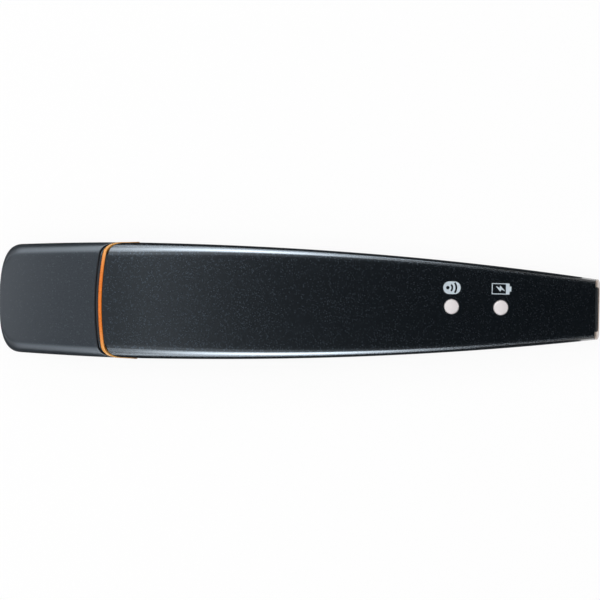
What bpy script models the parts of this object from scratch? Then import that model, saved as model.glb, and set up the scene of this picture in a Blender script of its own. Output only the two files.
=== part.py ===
# Scanning pen: a tapering two-part casing with a scanning head at the front under a pull-off cap,
# two status lights on the top face and a charging port in the tail.
# Metres, +Z up. The pen lies on its underside with the cap towards -X and the tail towards +X.
# The origin is on the underside's plane, half way along the pen.

import math

import bmesh
import bpy
from mathutils import Matrix, Vector

# Outer skin of the pen. A place is a distance from the cap's end, unless a heading says otherwise
pen_length = 0.1400
head_place = 0.0320
head_width = 0.0270
head_height = 0.0180
cap_end_width = 0.0247
cap_end_drop = 0.0010
tail_width = 0.0139
tail_height = 0.0090
tail_lift = 0.0010
flat_belly_end = 0.0850
head_edge_radius = 0.0032
tail_edge_radius = 0.0014
edge_fade_power = 2.5
head_side_draft = 0.00025
tail_side_draft = 0.0005
top_crown = 0.00035
taper_power = 2.1
top_slope_power = 1.5
cap_taper_power = 1.6

# End of the cap: crowned seen from above, with a small round along its edges
cap_dome = 0.0055
dome_power = 3.2
dome_side_power = 2.5
dome_flat_share = 0.26
dome_station_shares = (1.0, 0.74, 0.52, 0.34, 0.2, 0.1, 0.03)
cap_end_wall = 0.0024
cap_end_round = 0.0010

# Swept joint between the head and the casing
mouth_place = 0.0230
mouth_bow = 0.0013
side_sweep = 0.0071
sweep_power = 1.6
sweep_fade = 0.0600
cap_sweep_fade = 0.0140
tail_lean = 0.0009
lean_fade = 0.0200

# Clearances
fit = 0.0003
close_fit = 0.00015
running_fit = 0.00008
cut_overrun = 0.0020
weld_depth = 0.0006
least_radius = 0.0002
weld_reach = 0.00001

# Casing halves
shell_wall = 0.0014
seam = 0.0002
ring_width = 0.0008
ring_proud = 0.00015
casing_stations = 12
cap_wall = 0.0016
cap_stations = 5

# Head moulding
lip_thickness = 0.0003
lip_inset = 0.0003
nose_wall = 0.0012
barrel_end_place = 0.0365
spigot_length = 0.0095
nose_shoulder = 0.0008
nose_root_width = 0.0206
nose_root_height = 0.0126
nose_tip_width = 0.0190
nose_tip_height = 0.0115
nose_edge_radius = 0.0024
nose_tip_place = 0.0052
tip_slant = 0.0022

# Tip openings and the window in the upper one
window_width = 0.0150
window_height = 0.0034
window_thickness = 0.0010
window_rise = 0.0023
roller_slot_width = 0.0156
roller_slot_height = 0.0044
roller_drop = 0.0023

# Roller, its axle and the slotted disc
roller_radius = 0.0019
roller_width = 0.0090
roller_proud = 0.0007
axle_radius = 0.0006
axle_side_gap = 0.0004
disc_side_gap = 0.0008
disc_radius = 0.0017
disc_thickness = 0.0004
disc_teeth = 12
tooth_share = 0.5
disc_slot_depth = 0.0005

# Carriage that the page presses in
press_travel = 0.0012
arm_thickness = 0.0010
arm_height = 0.0034
bridge_thickness = 0.0018
bridge_height = 0.0040
arm_nose = 0.0010
bridge_setback = 0.0042
push_rod_radius = 0.0009
gate_height = 0.0022
gate_wall = 0.0004
gate_side_gap = 0.00025
spring_radius = 0.0013
spring_wire_radius = 0.00018
spring_turns = 5
spring_spread = 0.0058

# Optical head
holder_thickness = 0.0015
holder_place = 0.0185
lens_radius = 0.0026
lens_length = 0.0058
lens_rise = 0.0022
head_board_thickness = 0.0010
head_board_place = 0.0272
sensor_width = 0.0110
sensor_height = 0.0032
sensor_thickness = 0.0015
switch_width = 0.0046
switch_height = 0.0034
switch_depth = 0.0021
lamp_width = 0.0028
lamp_height = 0.0020
lamp_depth = 0.0012
lamp_spread = 0.0062

# Main board and what is on it; the chips' place is a distance from the tail,
# and the radio's from the lamp of the charging light
board_floor = 0.0029
board_thickness = 0.0010
board_front_place = 0.0460
board_rear_gap = 0.0044
board_margin = 0.0026
board_stations = 6
boss_hole_gap = 0.0003
rib_width = 0.0120
rib_thickness = 0.0012
rib_place = 0.0490
battery_length = 0.0390
battery_width = 0.0165
battery_height = 0.0055
battery_place = 0.0485
battery_edge = 0.0012
pad_thickness = 0.0008
pad_margin = 0.0015
processor_side = 0.0068
processor_height = 0.0009
chip_place = 0.0475
memory_length = 0.0050
memory_width = 0.0042
chip_spread = 0.0042
radio_place = 0.0050
radio_length = 0.0064
radio_width = 0.0086
radio_height = 0.0018
plug_setback = 0.0002
plug_length = 0.0017
plug_width = 0.0036
plug_height = 0.0016
plug_offset = 0.0066
lead_radius = 0.00035
lead_spread = 0.0016
lead_reach = 0.0024
lead_steps = 10
flex_socket_length = 0.0018
flex_socket_height = 0.0011
flex_socket_rim = 0.0008
part_edge = 0.0002
cable_width = 0.0060
cable_thickness = 0.0002
cable_rise = 0.0020
cable_steps = 10

# Status lights, whose places are distances from the tail
radio_light_place = 0.0349
charge_light_place = 0.0234
light_radius = 0.0017
light_dome = 0.00012
light_dome_shares = (0.0, 0.5, 0.8, 1.0)
light_flange_radius = 0.0024
light_flange_thickness = 0.0007
light_pipe_radius = 0.0013
light_chip_length = 0.0032
light_chip_width = 0.0016
light_chip_height = 0.0010

# Screws, their bosses and posts; the middle and rear places are distances from the tail
front_screw_place = 0.0405
front_screw_spread = 0.0084
middle_screw_place = 0.0408
rear_screw_place = 0.0132
front_boss_radius = 0.0027
boss_foot_radius = 0.0030
boss_neck_radius = 0.0021
screw_radius = 0.0010
screw_bite = 0.0032
screw_head_radius = 0.0018
screw_head_height = 0.0012
screw_crown_share = 0.67
screw_recess = 0.0015
screw_slot_width = 0.0005
screw_slot_depth = 0.0007
counterbore_gap = 0.0003
post_radius = 0.0022
pilot_gap = 0.0001
pilot_overrun = 0.0006

# Tail end
bezel_thickness = 0.0005
bezel_chamfer = 0.0002
recess_width = 0.0103
recess_height = 0.0060
recess_radius = 0.0010
insert_depth = 0.0030
insert_setback = 0.0002
socket_width = 0.0075
socket_height = 0.0026
socket_depth = 0.0055
socket_wall = 0.0003
socket_taper = 0.0009
tongue_width = 0.0036
tongue_height = 0.0007
tongue_length = 0.0040
tongue_rise = 0.00035

# Facets
wall_steps = 5
edge_steps = 5
crown_steps = 3
flat_steps = 1
round_steps = 24
plain_round_steps = 16

cap_end_x = -pen_length / 2
tail_x = pen_length / 2
head_x = cap_end_x + head_place
mouth_x = cap_end_x + mouth_place
casing_front_x = mouth_x + ring_width + fit
casing_rear_x = tail_x - bezel_thickness - close_fit
cap_edge_x = mouth_x - close_fit - lip_thickness - fit
cap_end_height = head_height - cap_end_drop
board_top = board_floor + board_thickness
chip_floor = board_top + fit
spigot_front_x = mouth_x - spigot_length
nose_root_x = spigot_front_x - nose_shoulder
nose_tip_x = cap_end_x + nose_tip_place
barrel_end_x = cap_end_x + barrel_end_place
axis_z = head_height / 2


class Section:
    """Measures of a cross-section: a flat-sided form with round edges and a crowned top."""

    def __init__(self, half_width, top, bottom, radius, draft, crown):
        self.half_width = half_width
        self.top = top
        self.bottom = bottom
        self.radius = radius
        self.draft = draft
        self.crown = crown

    @property
    def middle(self):
        return (self.top + self.bottom) / 2

    @property
    def rise(self):
        return (self.top - self.bottom) / 2

    def quarter(self, inset, crown, steps_in):
        """Points from the seam up the side, round the edge and in to the middle, above the seam."""
        width = self.half_width - inset
        rise = self.rise - inset
        radius = max(self.radius - inset, least_radius)
        lean = math.atan2(self.draft, self.rise)
        dome = math.atan2(2 * crown, width - self.draft - radius)
        centre_z = rise - crown - radius * math.cos(dome)
        centre_y = width - (radius + centre_z * math.sin(lean)) / math.cos(lean)
        foot_y = centre_y + radius * math.cos(lean)
        foot_z = centre_z + radius * math.sin(lean)
        points = []
        for step in range(wall_steps):
            share = step / wall_steps
            points.append((width + (foot_y - width) * share, foot_z * share))
        for step in range(edge_steps + 1):
            angle = lean + (math.pi / 2 - dome - lean) * step / edge_steps
            points.append((centre_y + radius * math.cos(angle), centre_z + radius * math.sin(angle)))
        edge_y, edge_z = points[-1]
        for step in range(1, steps_in + 1):
            share = 1 - step / steps_in
            points.append((edge_y * share, rise - (rise - edge_z) * share**2))
        return points

    def loop(self, inset=0.0):
        """The whole outline as (y, z), from the +Y seam over the top and back along the underside."""
        upper = self.quarter(inset, self.crown, crown_steps)
        lower = self.quarter(inset, 0.0, flat_steps)
        points = [(y, self.middle + z) for y, z in upper]
        points += [(-y, self.middle + z) for y, z in reversed(upper[:-1])]
        points += [(-y, self.middle - z) for y, z in lower[1:]]
        points += [(y, self.middle - z) for y, z in reversed(lower[1:-1])]
        return points


upper_count = 2 * (wall_steps + edge_steps + 1 + crown_steps) - 1


def between(low, high, share):
    return low + (high - low) * share


def dome_share(distance):
    """How far the cap's section has opened sideways at a distance from its end."""
    if distance >= cap_dome:
        return 1.0
    if distance <= 0:
        return dome_flat_share
    closed = (1 - distance / cap_dome) ** dome_power
    return (1 - closed) ** (1 / dome_side_power)


def end_drop(distance):
    """How far the round at the cap's end takes the top down at a distance from that end."""
    reach = min(max(cap_end_round - distance, 0), cap_end_round)
    return cap_end_round - math.sqrt(cap_end_round**2 - reach**2)


def pen_section(x):
    """The outer skin's section at x."""
    tail_share = min(max((x - head_x) / (tail_x - head_x), 0), 1)
    cap_share = min(max((head_x - x) / head_place, 0), 1)
    taper = tail_share**taper_power
    half_width = between(head_width, tail_width, taper) / 2
    half_width -= (head_width - cap_end_width) / 2 * cap_share**cap_taper_power
    top = between(head_height, tail_lift + tail_height, tail_share**top_slope_power)
    top -= (head_height - cap_end_height) * cap_share**cap_taper_power
    belly_x = cap_end_x + flat_belly_end
    lift_share = max((x - belly_x) / (tail_x - belly_x), 0)
    bottom = tail_lift * lift_share**2
    radius = between(tail_edge_radius, head_edge_radius, (1 - tail_share) ** edge_fade_power)
    draft = between(head_side_draft, tail_side_draft, tail_share)
    size = dome_share(x - cap_end_x)
    drop = end_drop(x - cap_end_x)
    return Section(
        half_width * size,
        top - drop,
        bottom + drop,
        radius * size,
        draft * size,
        top_crown * size,
    )


def mouth_offsets():
    """How far each point of the outline lies behind the mouth's foremost point."""
    section = pen_section(mouth_x)
    offsets = []
    for y, z in section.loop():
        reach = section.rise - (section.crown if z > section.middle else 0)
        across = y / section.half_width
        up = min(abs(z - section.middle) / reach, 1)
        offsets.append(mouth_bow * across**2 + side_sweep * (1 - up**2) ** sweep_power)
    return offsets


def lean_offsets():
    """How far each point of the tail's outline lies ahead of its lowest point."""
    section = pen_section(tail_x)
    return [-tail_lean * (z - section.bottom) / (2 * section.rise) for y, z in section.loop()]


mouth_sweeps = mouth_offsets()
tail_leans = lean_offsets()


def pen_loop(x, inset=0.0, mouth_share=0.0, lean_share=0.0, proud=0.0):
    """The pen's outline at x, swept with the mouth and leaning with the tail by the given shares."""
    points = []
    for place, (sweep, lean) in enumerate(zip(mouth_sweeps, tail_leans)):
        along = x + sweep * mouth_share + lean * lean_share
        section = pen_section(along)
        y, z = section.loop(inset)[place]
        points.append(Vector((along, y * (1 + proud / section.half_width), z)))
    return points


def casing_loop(x, inset=0.0):
    """The outline at x of the casing, whose front is swept and whose rear leans."""
    mouth_share = max(1 - (x - casing_front_x) / sweep_fade, 0)
    lean_share = max(1 - (tail_x - x) / lean_fade, 0)
    return pen_loop(x, inset, mouth_share, lean_share)


def nose_section(x):
    """The section of the nose ahead of its shoulder."""
    share = (nose_root_x - x) / (nose_root_x - nose_tip_x)
    half_width = between(nose_root_width, nose_tip_width, share) / 2
    rise = between(nose_root_height, nose_tip_height, share) / 2
    return Section(half_width, axis_z + rise, axis_z - rise, nose_edge_radius, 0.0, 0.0)


def tip_slope():
    return 2 * tip_slant / nose_tip_height


def nose_loop(x, inset=0.0, slant_share=0.0):
    """The nose's outline at x on its axis, slanting by the given share of the tip's slope."""
    points = []
    for y, z in nose_section(x).loop(inset):
        points.append(Vector((x - (z - axis_z) * tip_slope() * slant_share, y, z)))
    return points


def flat_loop(x, half_width, rise, radius, centre_z):
    """A round-cornered rectangle across the pen, with as many points as the pen's outline."""
    section = Section(half_width, centre_z + rise, centre_z - rise, radius, 0.0, 0.0)
    return [Vector((x, y, z)) for y, z in section.loop()]


def clear_scene():
    for thing in list(bpy.data.objects):
        bpy.data.objects.remove(thing, do_unlink=True)
    for old in list(bpy.data.collections):
        bpy.data.collections.remove(old)


clear_scene()
parts = bpy.data.collections.new("scanning_pen")
cutters = bpy.data.collections.new("cutters")
bpy.context.scene.collection.children.link(parts)
bpy.context.scene.collection.children.link(cutters)


def finish(name, colour, roughness, metallic=0.0):
    """A Principled material with the given look."""
    material = bpy.data.materials.new(name)
    material.use_nodes = True
    shader = material.node_tree.nodes["Principled BSDF"]
    shader.inputs["Base Color"].default_value = (*colour, 1.0)
    shader.inputs["Roughness"].default_value = roughness
    shader.inputs["Metallic"].default_value = metallic
    return material


soft_touch = finish("soft_touch", (0.058, 0.068, 0.079), 0.62)
satin_black = finish("satin_black", (0.020, 0.024, 0.028), 0.34)
gloss_black = finish("gloss_black", (0.012, 0.012, 0.013), 0.12)
orange = finish("orange", (0.83, 0.24, 0.03), 0.3)
warm_metal = finish("warm_metal", (0.45, 0.36, 0.30), 0.32, 1.0)
matt_black = finish("matt_black", (0.01, 0.01, 0.011), 0.6)
steel = finish("steel", (0.55, 0.56, 0.57), 0.3, 1.0)
spring_steel = finish("spring_steel", (0.42, 0.43, 0.45), 0.28, 1.0)
circuit = finish("circuit", (0.02, 0.12, 0.05), 0.45)
chip_black = finish("chip_black", (0.015, 0.015, 0.017), 0.5)
clear_plastic = finish("clear_plastic", (0.85, 0.88, 0.90), 0.08)
lit_white = finish("lit_white", (0.9, 0.87, 0.87), 0.3)
pouch_silver = finish("pouch_silver", (0.60, 0.61, 0.62), 0.4, 0.7)
foam = finish("foam", (0.05, 0.05, 0.055), 0.9)
soft_rubber = finish("soft_rubber", (0.03, 0.03, 0.03), 0.8)
red_lead = finish("red_lead", (0.45, 0.02, 0.02), 0.5)
amber_film = finish("amber_film", (0.55, 0.22, 0.05), 0.4)


def add(name, mesh, material, place=(0, 0, 0)):
    """A part as an object in the parts' collection."""
    part = bpy.data.objects.new(name, mesh)
    part.location = place
    mesh.materials.append(material)
    parts.objects.link(part)
    return part


def add_cutter(name, mesh, place=(0, 0, 0)):
    cutter = bpy.data.objects.new(name, mesh)
    cutter.location = place
    cutter.hide_render = True
    cutter.display_type = "WIRE"
    cutters.objects.link(cutter)
    return cutter


def apply_boolean(part, tool, operation):
    change = part.modifiers.new(operation.lower() + "_" + tool.name, "BOOLEAN")
    change.operation = operation
    change.object = tool


def cut(part, tool):
    apply_boolean(part, tool, "DIFFERENCE")


def join(part, tool):
    apply_boolean(part, tool, "UNION")


def smooth(mesh, angle_share=1 / 6):
    """Smooth shading, kept sharp where faces meet at more than a share of a half turn."""
    mesh.shade_smooth()
    mesh.set_sharp_from_angle(angle=math.pi * angle_share)


def lofted(name, loops, first_cap=False, last_cap=False, round_again=False):
    """A skin through outlines that have equally many points."""
    mesh = bpy.data.meshes.new(name)
    shape = bmesh.new()
    rows = [[shape.verts.new(point) for point in loop] for loop in loops]
    if round_again:
        rows.append(rows[0])
    for near, far in zip(rows, rows[1:]):
        for place in range(len(near)):
            after = (place + 1) % len(near)
            shape.faces.new((near[place], near[after], far[after], far[place]))
    if first_cap:
        shape.faces.new(rows[0])
    if last_cap:
        shape.faces.new(rows[-1])
    bmesh.ops.recalc_face_normals(shape, faces=shape.faces)
    sides = [face for face in shape.faces if len(face.verts) == 4]
    bmesh.ops.triangulate(shape, faces=sides, quad_method="SHORT_EDGE")
    shape.to_mesh(mesh)
    shape.free()
    smooth(mesh)
    return mesh


def strip(name, rows, outward):
    """An open skin through rows of points, its faces turned to the outward direction."""
    mesh = bpy.data.meshes.new(name)
    shape = bmesh.new()
    lines = [[shape.verts.new(point) for point in row] for row in rows]
    for near, far in zip(lines, lines[1:]):
        for place in range(len(near) - 1):
            shape.faces.new((near[place], near[place + 1], far[place + 1], far[place]))
    shape.normal_update()
    middle_face = max(shape.faces, key=lambda face: face.normal.dot(outward) ** 2)
    if middle_face.normal.dot(outward) < 0:
        bmesh.ops.reverse_faces(shape, faces=shape.faces)
    shape.to_mesh(mesh)
    shape.free()
    smooth(mesh)
    return mesh


def walled(name, outer_rows, inner_rows):
    """An open skin and its inner face, through rows of equally many points, closed at the edges."""
    mesh = bpy.data.meshes.new(name)
    shape = bmesh.new()
    outer = [[shape.verts.new(point) for point in row] for row in outer_rows]
    inner = [[shape.verts.new(point) for point in row] for row in inner_rows]
    for skin in (outer, inner):
        for near, far in zip(skin, skin[1:]):
            for place in range(len(near) - 1):
                shape.faces.new((near[place], near[place + 1], far[place + 1], far[place]))
    borders = [(outer[end], inner[end]) for end in (0, -1)]
    for end in (0, -1):
        borders.append(([row[end] for row in outer], [row[end] for row in inner]))
    for near, far in borders:
        for place in range(len(near) - 1):
            shape.faces.new((near[place], near[place + 1], far[place + 1], far[place]))
    bmesh.ops.recalc_face_normals(shape, faces=shape.faces)
    bmesh.ops.triangulate(shape, faces=shape.faces, quad_method="SHORT_EDGE")
    shape.to_mesh(mesh)
    shape.free()
    smooth(mesh)
    return mesh


def thicken(part, wall):
    """Gives an open skin its wall, inwards."""
    shell = part.modifiers.new("wall", "SOLIDIFY")
    shell.thickness = wall
    shell.offset = -1.0
    shell.use_even_offset = True
    shell.use_quality_normals = True


def block_mesh(name, length, width, height):
    """A box round its own origin."""
    mesh = bpy.data.meshes.new(name)
    shape = bmesh.new()
    bmesh.ops.create_cube(shape, size=1)
    bmesh.ops.scale(shape, vec=(length, width, height), verts=shape.verts)
    shape.to_mesh(mesh)
    shape.free()
    return mesh


def soften(part, width):
    """Rounds a part's edges."""
    bevel = part.modifiers.new("edges", "BEVEL")
    bevel.width = width
    bevel.segments = 1
    bevel.limit_method = "ANGLE"


def rod_mesh(name, radius, length, axis="Z", steps=round_steps):
    """A cylinder round its own origin, along the named axis."""
    mesh = bpy.data.meshes.new(name)
    shape = bmesh.new()
    bmesh.ops.create_cone(
        shape, cap_ends=True, segments=steps, radius1=radius, radius2=radius, depth=length
    )
    quarter_turn = math.pi / 2
    turns = {"X": Matrix.Rotation(quarter_turn, 3, "Y"), "Y": Matrix.Rotation(quarter_turn, 3, "X")}
    if axis in turns:
        bmesh.ops.rotate(shape, cent=(0, 0, 0), matrix=turns[axis], verts=shape.verts)
    shape.to_mesh(mesh)
    shape.free()
    smooth(mesh)
    return mesh


def turned(name, profile, material, place, steps=round_steps):
    """A turned part from (radius, height) points that run down its outer side."""
    mesh = bpy.data.meshes.new(name)
    corners = [(radius, 0, height) for radius, height in profile]
    mesh.from_pydata(corners, [(n, n + 1) for n in range(len(corners) - 1)], [])
    part = add(name, mesh, material, place)
    screw = part.modifiers.new("turn", "SCREW")
    screw.steps = steps
    screw.render_steps = steps
    screw.use_merge_vertices = True
    screw.merge_threshold = weld_reach
    screw.use_smooth_shade = True
    return part


def as_mesh(curve_object, material):
    """Replaces a curve by a mesh of the same name and place, with its caps welded on."""
    bpy.context.view_layer.update()
    evaluated = curve_object.evaluated_get(bpy.context.evaluated_depsgraph_get())
    mesh = bpy.data.meshes.new_from_object(evaluated)
    shape = bmesh.new()
    shape.from_mesh(mesh)
    bmesh.ops.remove_doubles(shape, verts=shape.verts, dist=weld_reach)
    bmesh.ops.recalc_face_normals(shape, faces=shape.faces)
    shape.to_mesh(mesh)
    shape.free()
    mesh.materials.clear()
    name = curve_object.name
    place = curve_object.matrix_world.copy()
    bpy.data.objects.remove(curve_object, do_unlink=True)
    part = add(name, mesh, material)
    part.matrix_world = place
    return part


def flat_outline(name, corners, thickness, material, place, turn=(0, 0, 0)):
    """A plate cut to an outline in its own XY plane."""
    curve = bpy.data.curves.new(name, "CURVE")
    curve.dimensions = "2D"
    curve.fill_mode = "BOTH"
    curve.extrude = thickness / 2
    line = curve.splines.new("POLY")
    line.points.add(len(corners) - 1)
    for point, (x, y) in zip(line.points, corners):
        point.co = (x, y, 0, 1)
    line.use_cyclic_u = True
    outline = bpy.data.objects.new(name, curve)
    outline.location = place
    outline.rotation_euler = turn
    parts.objects.link(outline)
    return as_mesh(outline, material)


def cap_loops(first_x, inset):
    """Outlines of the cap's skin from its swept edge to where its dome begins."""
    loops = []
    for step in range(cap_stations):
        x = between(first_x, cap_end_x + cap_dome, step / cap_stations)
        loops.append(pen_loop(x, inset, mouth_share=max(1 - (first_x - x) / cap_sweep_fade, 0)))
    return loops


def make_cap():
    """The cap: a skin from its swept edge to its crowned end, and a hollow inside it."""
    loops = cap_loops(cap_edge_x, 0.0)
    loops += [pen_loop(cap_end_x + cap_dome * share) for share in dome_station_shares]
    loops.append(pen_loop(cap_end_x))
    loops.reverse()
    loops.append(pen_loop(cap_edge_x, lip_inset, mouth_share=1))
    loops += cap_loops(cap_edge_x, cap_wall)
    inner_places = [cap_dome * share for share in dome_station_shares if cap_dome * share > cap_end_wall]
    loops += [pen_loop(cap_end_x + place, cap_wall) for place in inner_places + [cap_end_wall]]
    add("cap", lofted("cap", loops, first_cap=True, last_cap=True), soft_touch)


def make_accent_ring():
    """The orange ring between the lip and the casing."""
    rear_x = mouth_x + ring_width
    outer = [pen_loop(x, mouth_share=1, proud=ring_proud) for x in (mouth_x, rear_x)]
    inner = [pen_loop(x, inset=shell_wall, mouth_share=1) for x in (rear_x, mouth_x)]
    facing_lip = pen_loop(mouth_x, inset=lip_inset, mouth_share=1)
    loops = outer + inner + [facing_lip]
    add("accent_ring", lofted("accent_ring", loops, round_again=True), orange)


def casing_rows(first, last, inset):
    """Rows of one half of the casing's skin from the mouth to the tail, lifted off the seam."""
    rows = []
    for step in range(casing_stations + 1):
        loop = casing_loop(between(casing_front_x, casing_rear_x, step / casing_stations), inset)
        row = [loop[place % len(loop)] for place in range(first, last + 1)]
        for edge, beside in ((0, 1), (-1, -2)):
            along = row[beside] - row[edge]
            row[edge] = row[edge] + along * (seam / 2 / abs(along.z))
        rows.append(row)
    return rows


def casing_half(name, first, last):
    """One half of the casing, with the wall between its outer and its inner skin."""
    return walled(name, casing_rows(first, last, 0.0), casing_rows(first, last, shell_wall))


def place_x(place):
    return cap_end_x + place


def screw_places():
    """Each screw's name, x, y, and whether its boss stands under the main board."""
    front_x = place_x(front_screw_place)
    return [
        ("screw_front_left", front_x, front_screw_spread, False),
        ("screw_front_right", front_x, -front_screw_spread, False),
        ("screw_middle", tail_x - middle_screw_place, 0.0, True),
        ("screw_rear", tail_x - rear_screw_place, 0.0, True),
    ]


def screw_heights(x):
    """Heights of the underside, the head's seat, and the boss's top at x."""
    section = pen_section(x)
    return section.bottom, section.bottom + screw_recess, section.middle


def upright(name, radius, low, high, x, y, steps=plain_round_steps):
    """An upright round tool between two heights."""
    return add_cutter(name, rod_mesh(name, radius, high - low, steps=steps), (x, y, (low + high) / 2))


def make_bottom_shell():
    """The lower half, with bosses for the screws and ribs under the main board."""
    mesh = casing_half("bottom_shell", upper_count - 1, len(mouth_sweeps))
    shell = add("bottom_shell", mesh, satin_black)
    for name, x, y, under_board in screw_places():
        underside, seat, top = screw_heights(x)
        root = underside + shell_wall - weld_depth
        if under_board:
            join(shell, upright(name + "_foot", boss_foot_radius, root, board_floor - fit, x, y))
            join(shell, upright(name + "_neck", boss_neck_radius, root, top, x, y))
        else:
            join(shell, upright(name + "_boss", front_boss_radius, root, top, x, y))
        counterbore_radius = screw_head_radius + counterbore_gap
        cut(shell, upright(name + "_sink", counterbore_radius, underside - cut_overrun, seat, x, y))
        hole_top = top + cut_overrun
        cut(shell, upright(name + "_hole", screw_radius + pilot_gap, underside, hole_top, x, y))
    rib_x = place_x(rib_place)
    rib_low = pen_section(rib_x).bottom + shell_wall - weld_depth
    rib_height = board_floor - fit - rib_low
    rib = block_mesh("board_rib", rib_thickness, rib_width, rib_height)
    join(shell, add_cutter("board_rib", rib, (rib_x, 0, rib_low + rib_height / 2)))


def light_places():
    return [("radio_light", tail_x - radio_light_place), ("charge_light", tail_x - charge_light_place)]


def top_slope(x):
    """The top face's slope at x, as an angle downwards towards the tail."""
    reach = light_radius
    return math.atan2(pen_section(x - reach).top - pen_section(x + reach).top, 2 * reach)


def make_top_shell():
    """The upper half, with posts for the screws and holes for the two lights."""
    shell = add("top_shell", casing_half("top_shell", 0, upper_count - 1), satin_black)
    for name, x, y, under_board in screw_places():
        top = screw_heights(x)[2]
        section = pen_section(x + post_radius)
        ceiling = section.top - section.crown - shell_wall + weld_depth
        join(shell, upright(name + "_post", post_radius, top + fit, ceiling, x, y))
        pilot_top = top + screw_bite + pilot_overrun
        cut(shell, upright(name + "_pilot", screw_radius + pilot_gap, top, pilot_top, x, y))
    for name, x in light_places():
        hole = add_cutter(
            name + "_hole",
            rod_mesh(name + "_hole", light_radius + close_fit, 2 * (shell_wall + cut_overrun)),
            (x, 0, pen_section(x).top),
        )
        hole.rotation_euler = (0, top_slope(x), 0)
        cut(shell, hole)


def light_pipe_length(x):
    """From the lens's rim square down to the lamp on the board."""
    slope = top_slope(x)
    chip_top = chip_floor + light_chip_height
    corner_drop = light_pipe_radius * math.sin(slope)
    return (pen_section(x).top - chip_top - fit) / math.cos(slope) - corner_drop


def light_chip_x(x):
    """Where the lamp on the board stands, under the foot of the light pipe."""
    return x - math.sin(top_slope(x)) * light_pipe_length(x)


def make_lights():
    """Each light's lens with its light pipe, square to the top face, and the lamp on the board."""
    for name, x in light_places():
        pipe_length = light_pipe_length(x)
        flange_top = -shell_wall - close_fit
        flange_foot = flange_top - light_flange_thickness
        profile = [(light_radius * share, light_dome * (1 - share**2)) for share in light_dome_shares]
        profile += [
            (light_radius, flange_top),
            (light_flange_radius, flange_top),
            (light_flange_radius, flange_foot),
            (light_pipe_radius, flange_foot),
            (light_pipe_radius, -pipe_length),
            (0, -pipe_length),
        ]
        lens = turned(name + "_lens", profile, lit_white, (x, 0, pen_section(x).top))
        lens.rotation_euler = (0, top_slope(x), 0)
        chip = block_mesh(name, light_chip_length, light_chip_width, light_chip_height)
        add(name, chip, lit_white, (light_chip_x(x), 0, chip_floor + light_chip_height / 2))


def make_screws():
    """Pan-head screws with a crossed slot, standing head down in their counterbores."""
    for name, x, y, under_board in screw_places():
        underside, seat, top = screw_heights(x)
        length = top + screw_bite - seat
        profile = [
            (0, length),
            (screw_radius / 2, length),
            (screw_radius, length - screw_radius / 2),
            (screw_radius, 0),
            (screw_head_radius, 0),
            (screw_head_radius, -screw_head_height * screw_crown_share),
            (screw_head_radius * screw_crown_share, -screw_head_height),
            (0, -screw_head_height),
        ]
        screw = turned(name, profile, steel, (x, y, seat - close_fit), plain_round_steps)
        slot_length = 2 * screw_head_radius * screw_crown_share
        face_z = seat - close_fit - screw_head_height
        for mark, length_x, length_y in (
            ("_along", slot_length, screw_slot_width),
            ("_across", screw_slot_width, slot_length),
        ):
            slot = block_mesh(name + mark, length_x, length_y, 2 * screw_slot_depth)
            cut(screw, add_cutter(name + mark, slot, (x, y, face_z)))


def make_nose_housing():
    """The head moulding: barrel in the casing, lip, spigot for the cap, and the slanted nose."""
    lip_rear_x = mouth_x - close_fit
    lip_front_x = lip_rear_x - lip_thickness
    barrel_inset = shell_wall + fit
    spigot_inset = cap_wall + fit
    inner_inset = spigot_inset + nose_wall
    loops = [
        pen_loop(barrel_end_x, barrel_inset),
        pen_loop(lip_rear_x, barrel_inset, mouth_share=1),
        pen_loop(lip_rear_x, shell_wall, mouth_share=1),
        pen_loop(lip_rear_x, lip_inset, mouth_share=1),
        pen_loop(lip_front_x, lip_inset, mouth_share=1),
        pen_loop(lip_front_x, cap_wall, mouth_share=1),
        pen_loop(lip_front_x, spigot_inset, mouth_share=1),
        pen_loop(spigot_front_x, spigot_inset),
        nose_loop(nose_root_x),
        nose_loop(nose_tip_x + nose_wall / 2, slant_share=1),
        nose_loop(nose_tip_x, nose_wall / 2, slant_share=1),
    ]
    loops.reverse()
    loops += [
        pen_loop(barrel_end_x, inner_inset),
        pen_loop(spigot_front_x + nose_wall, inner_inset),
        nose_loop(nose_root_x + nose_wall, nose_wall),
        nose_loop(nose_tip_x + nose_wall, nose_wall, slant_share=1),
    ]
    mesh = lofted("nose_housing", loops, first_cap=True, last_cap=True)
    housing = add("nose_housing", mesh, gloss_black)
    slope = math.atan(tip_slope())
    for name, width, height, rise, turn in (
        ("window_opening", window_width, window_height, window_rise, -slope),
        ("roller_opening", roller_slot_width, roller_slot_height, -roller_drop, 0),
    ):
        depth = 2 * (nose_wall + cut_overrun)
        opening = add_cutter(name, block_mesh(name, depth, width, height), tip_point(rise))
        opening.rotation_euler = (0, turn, 0)
        cut(housing, opening)


def tip_point(rise, depth=0.0):
    """The point of the tip's face at a height above the nose's axis, and a depth square behind it."""
    slope = math.atan(tip_slope())
    on_face = Vector((nose_tip_x - rise * tip_slope(), 0, axis_z + rise))
    return on_face + depth * Vector((math.cos(slope), 0, math.sin(slope)))


def make_window():
    """The clear plate in the tip's upper opening."""
    pane = block_mesh(
        "scan_window", window_thickness, window_width - 2 * close_fit, window_height - 2 * close_fit
    )
    window = add("scan_window", pane, clear_plastic, tip_point(window_rise, nose_wall / 2))
    window.rotation_euler = (0, -math.atan(tip_slope()), 0)


roller_z = axis_z - roller_drop
roller_x = nose_tip_x + roller_drop * tip_slope() - roller_proud + roller_radius
arm_y = roller_width / 2 + axle_side_gap + arm_thickness / 2
disc_y = arm_y + arm_thickness / 2 + disc_side_gap + disc_thickness / 2
bridge_x = roller_x + bridge_setback


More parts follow.
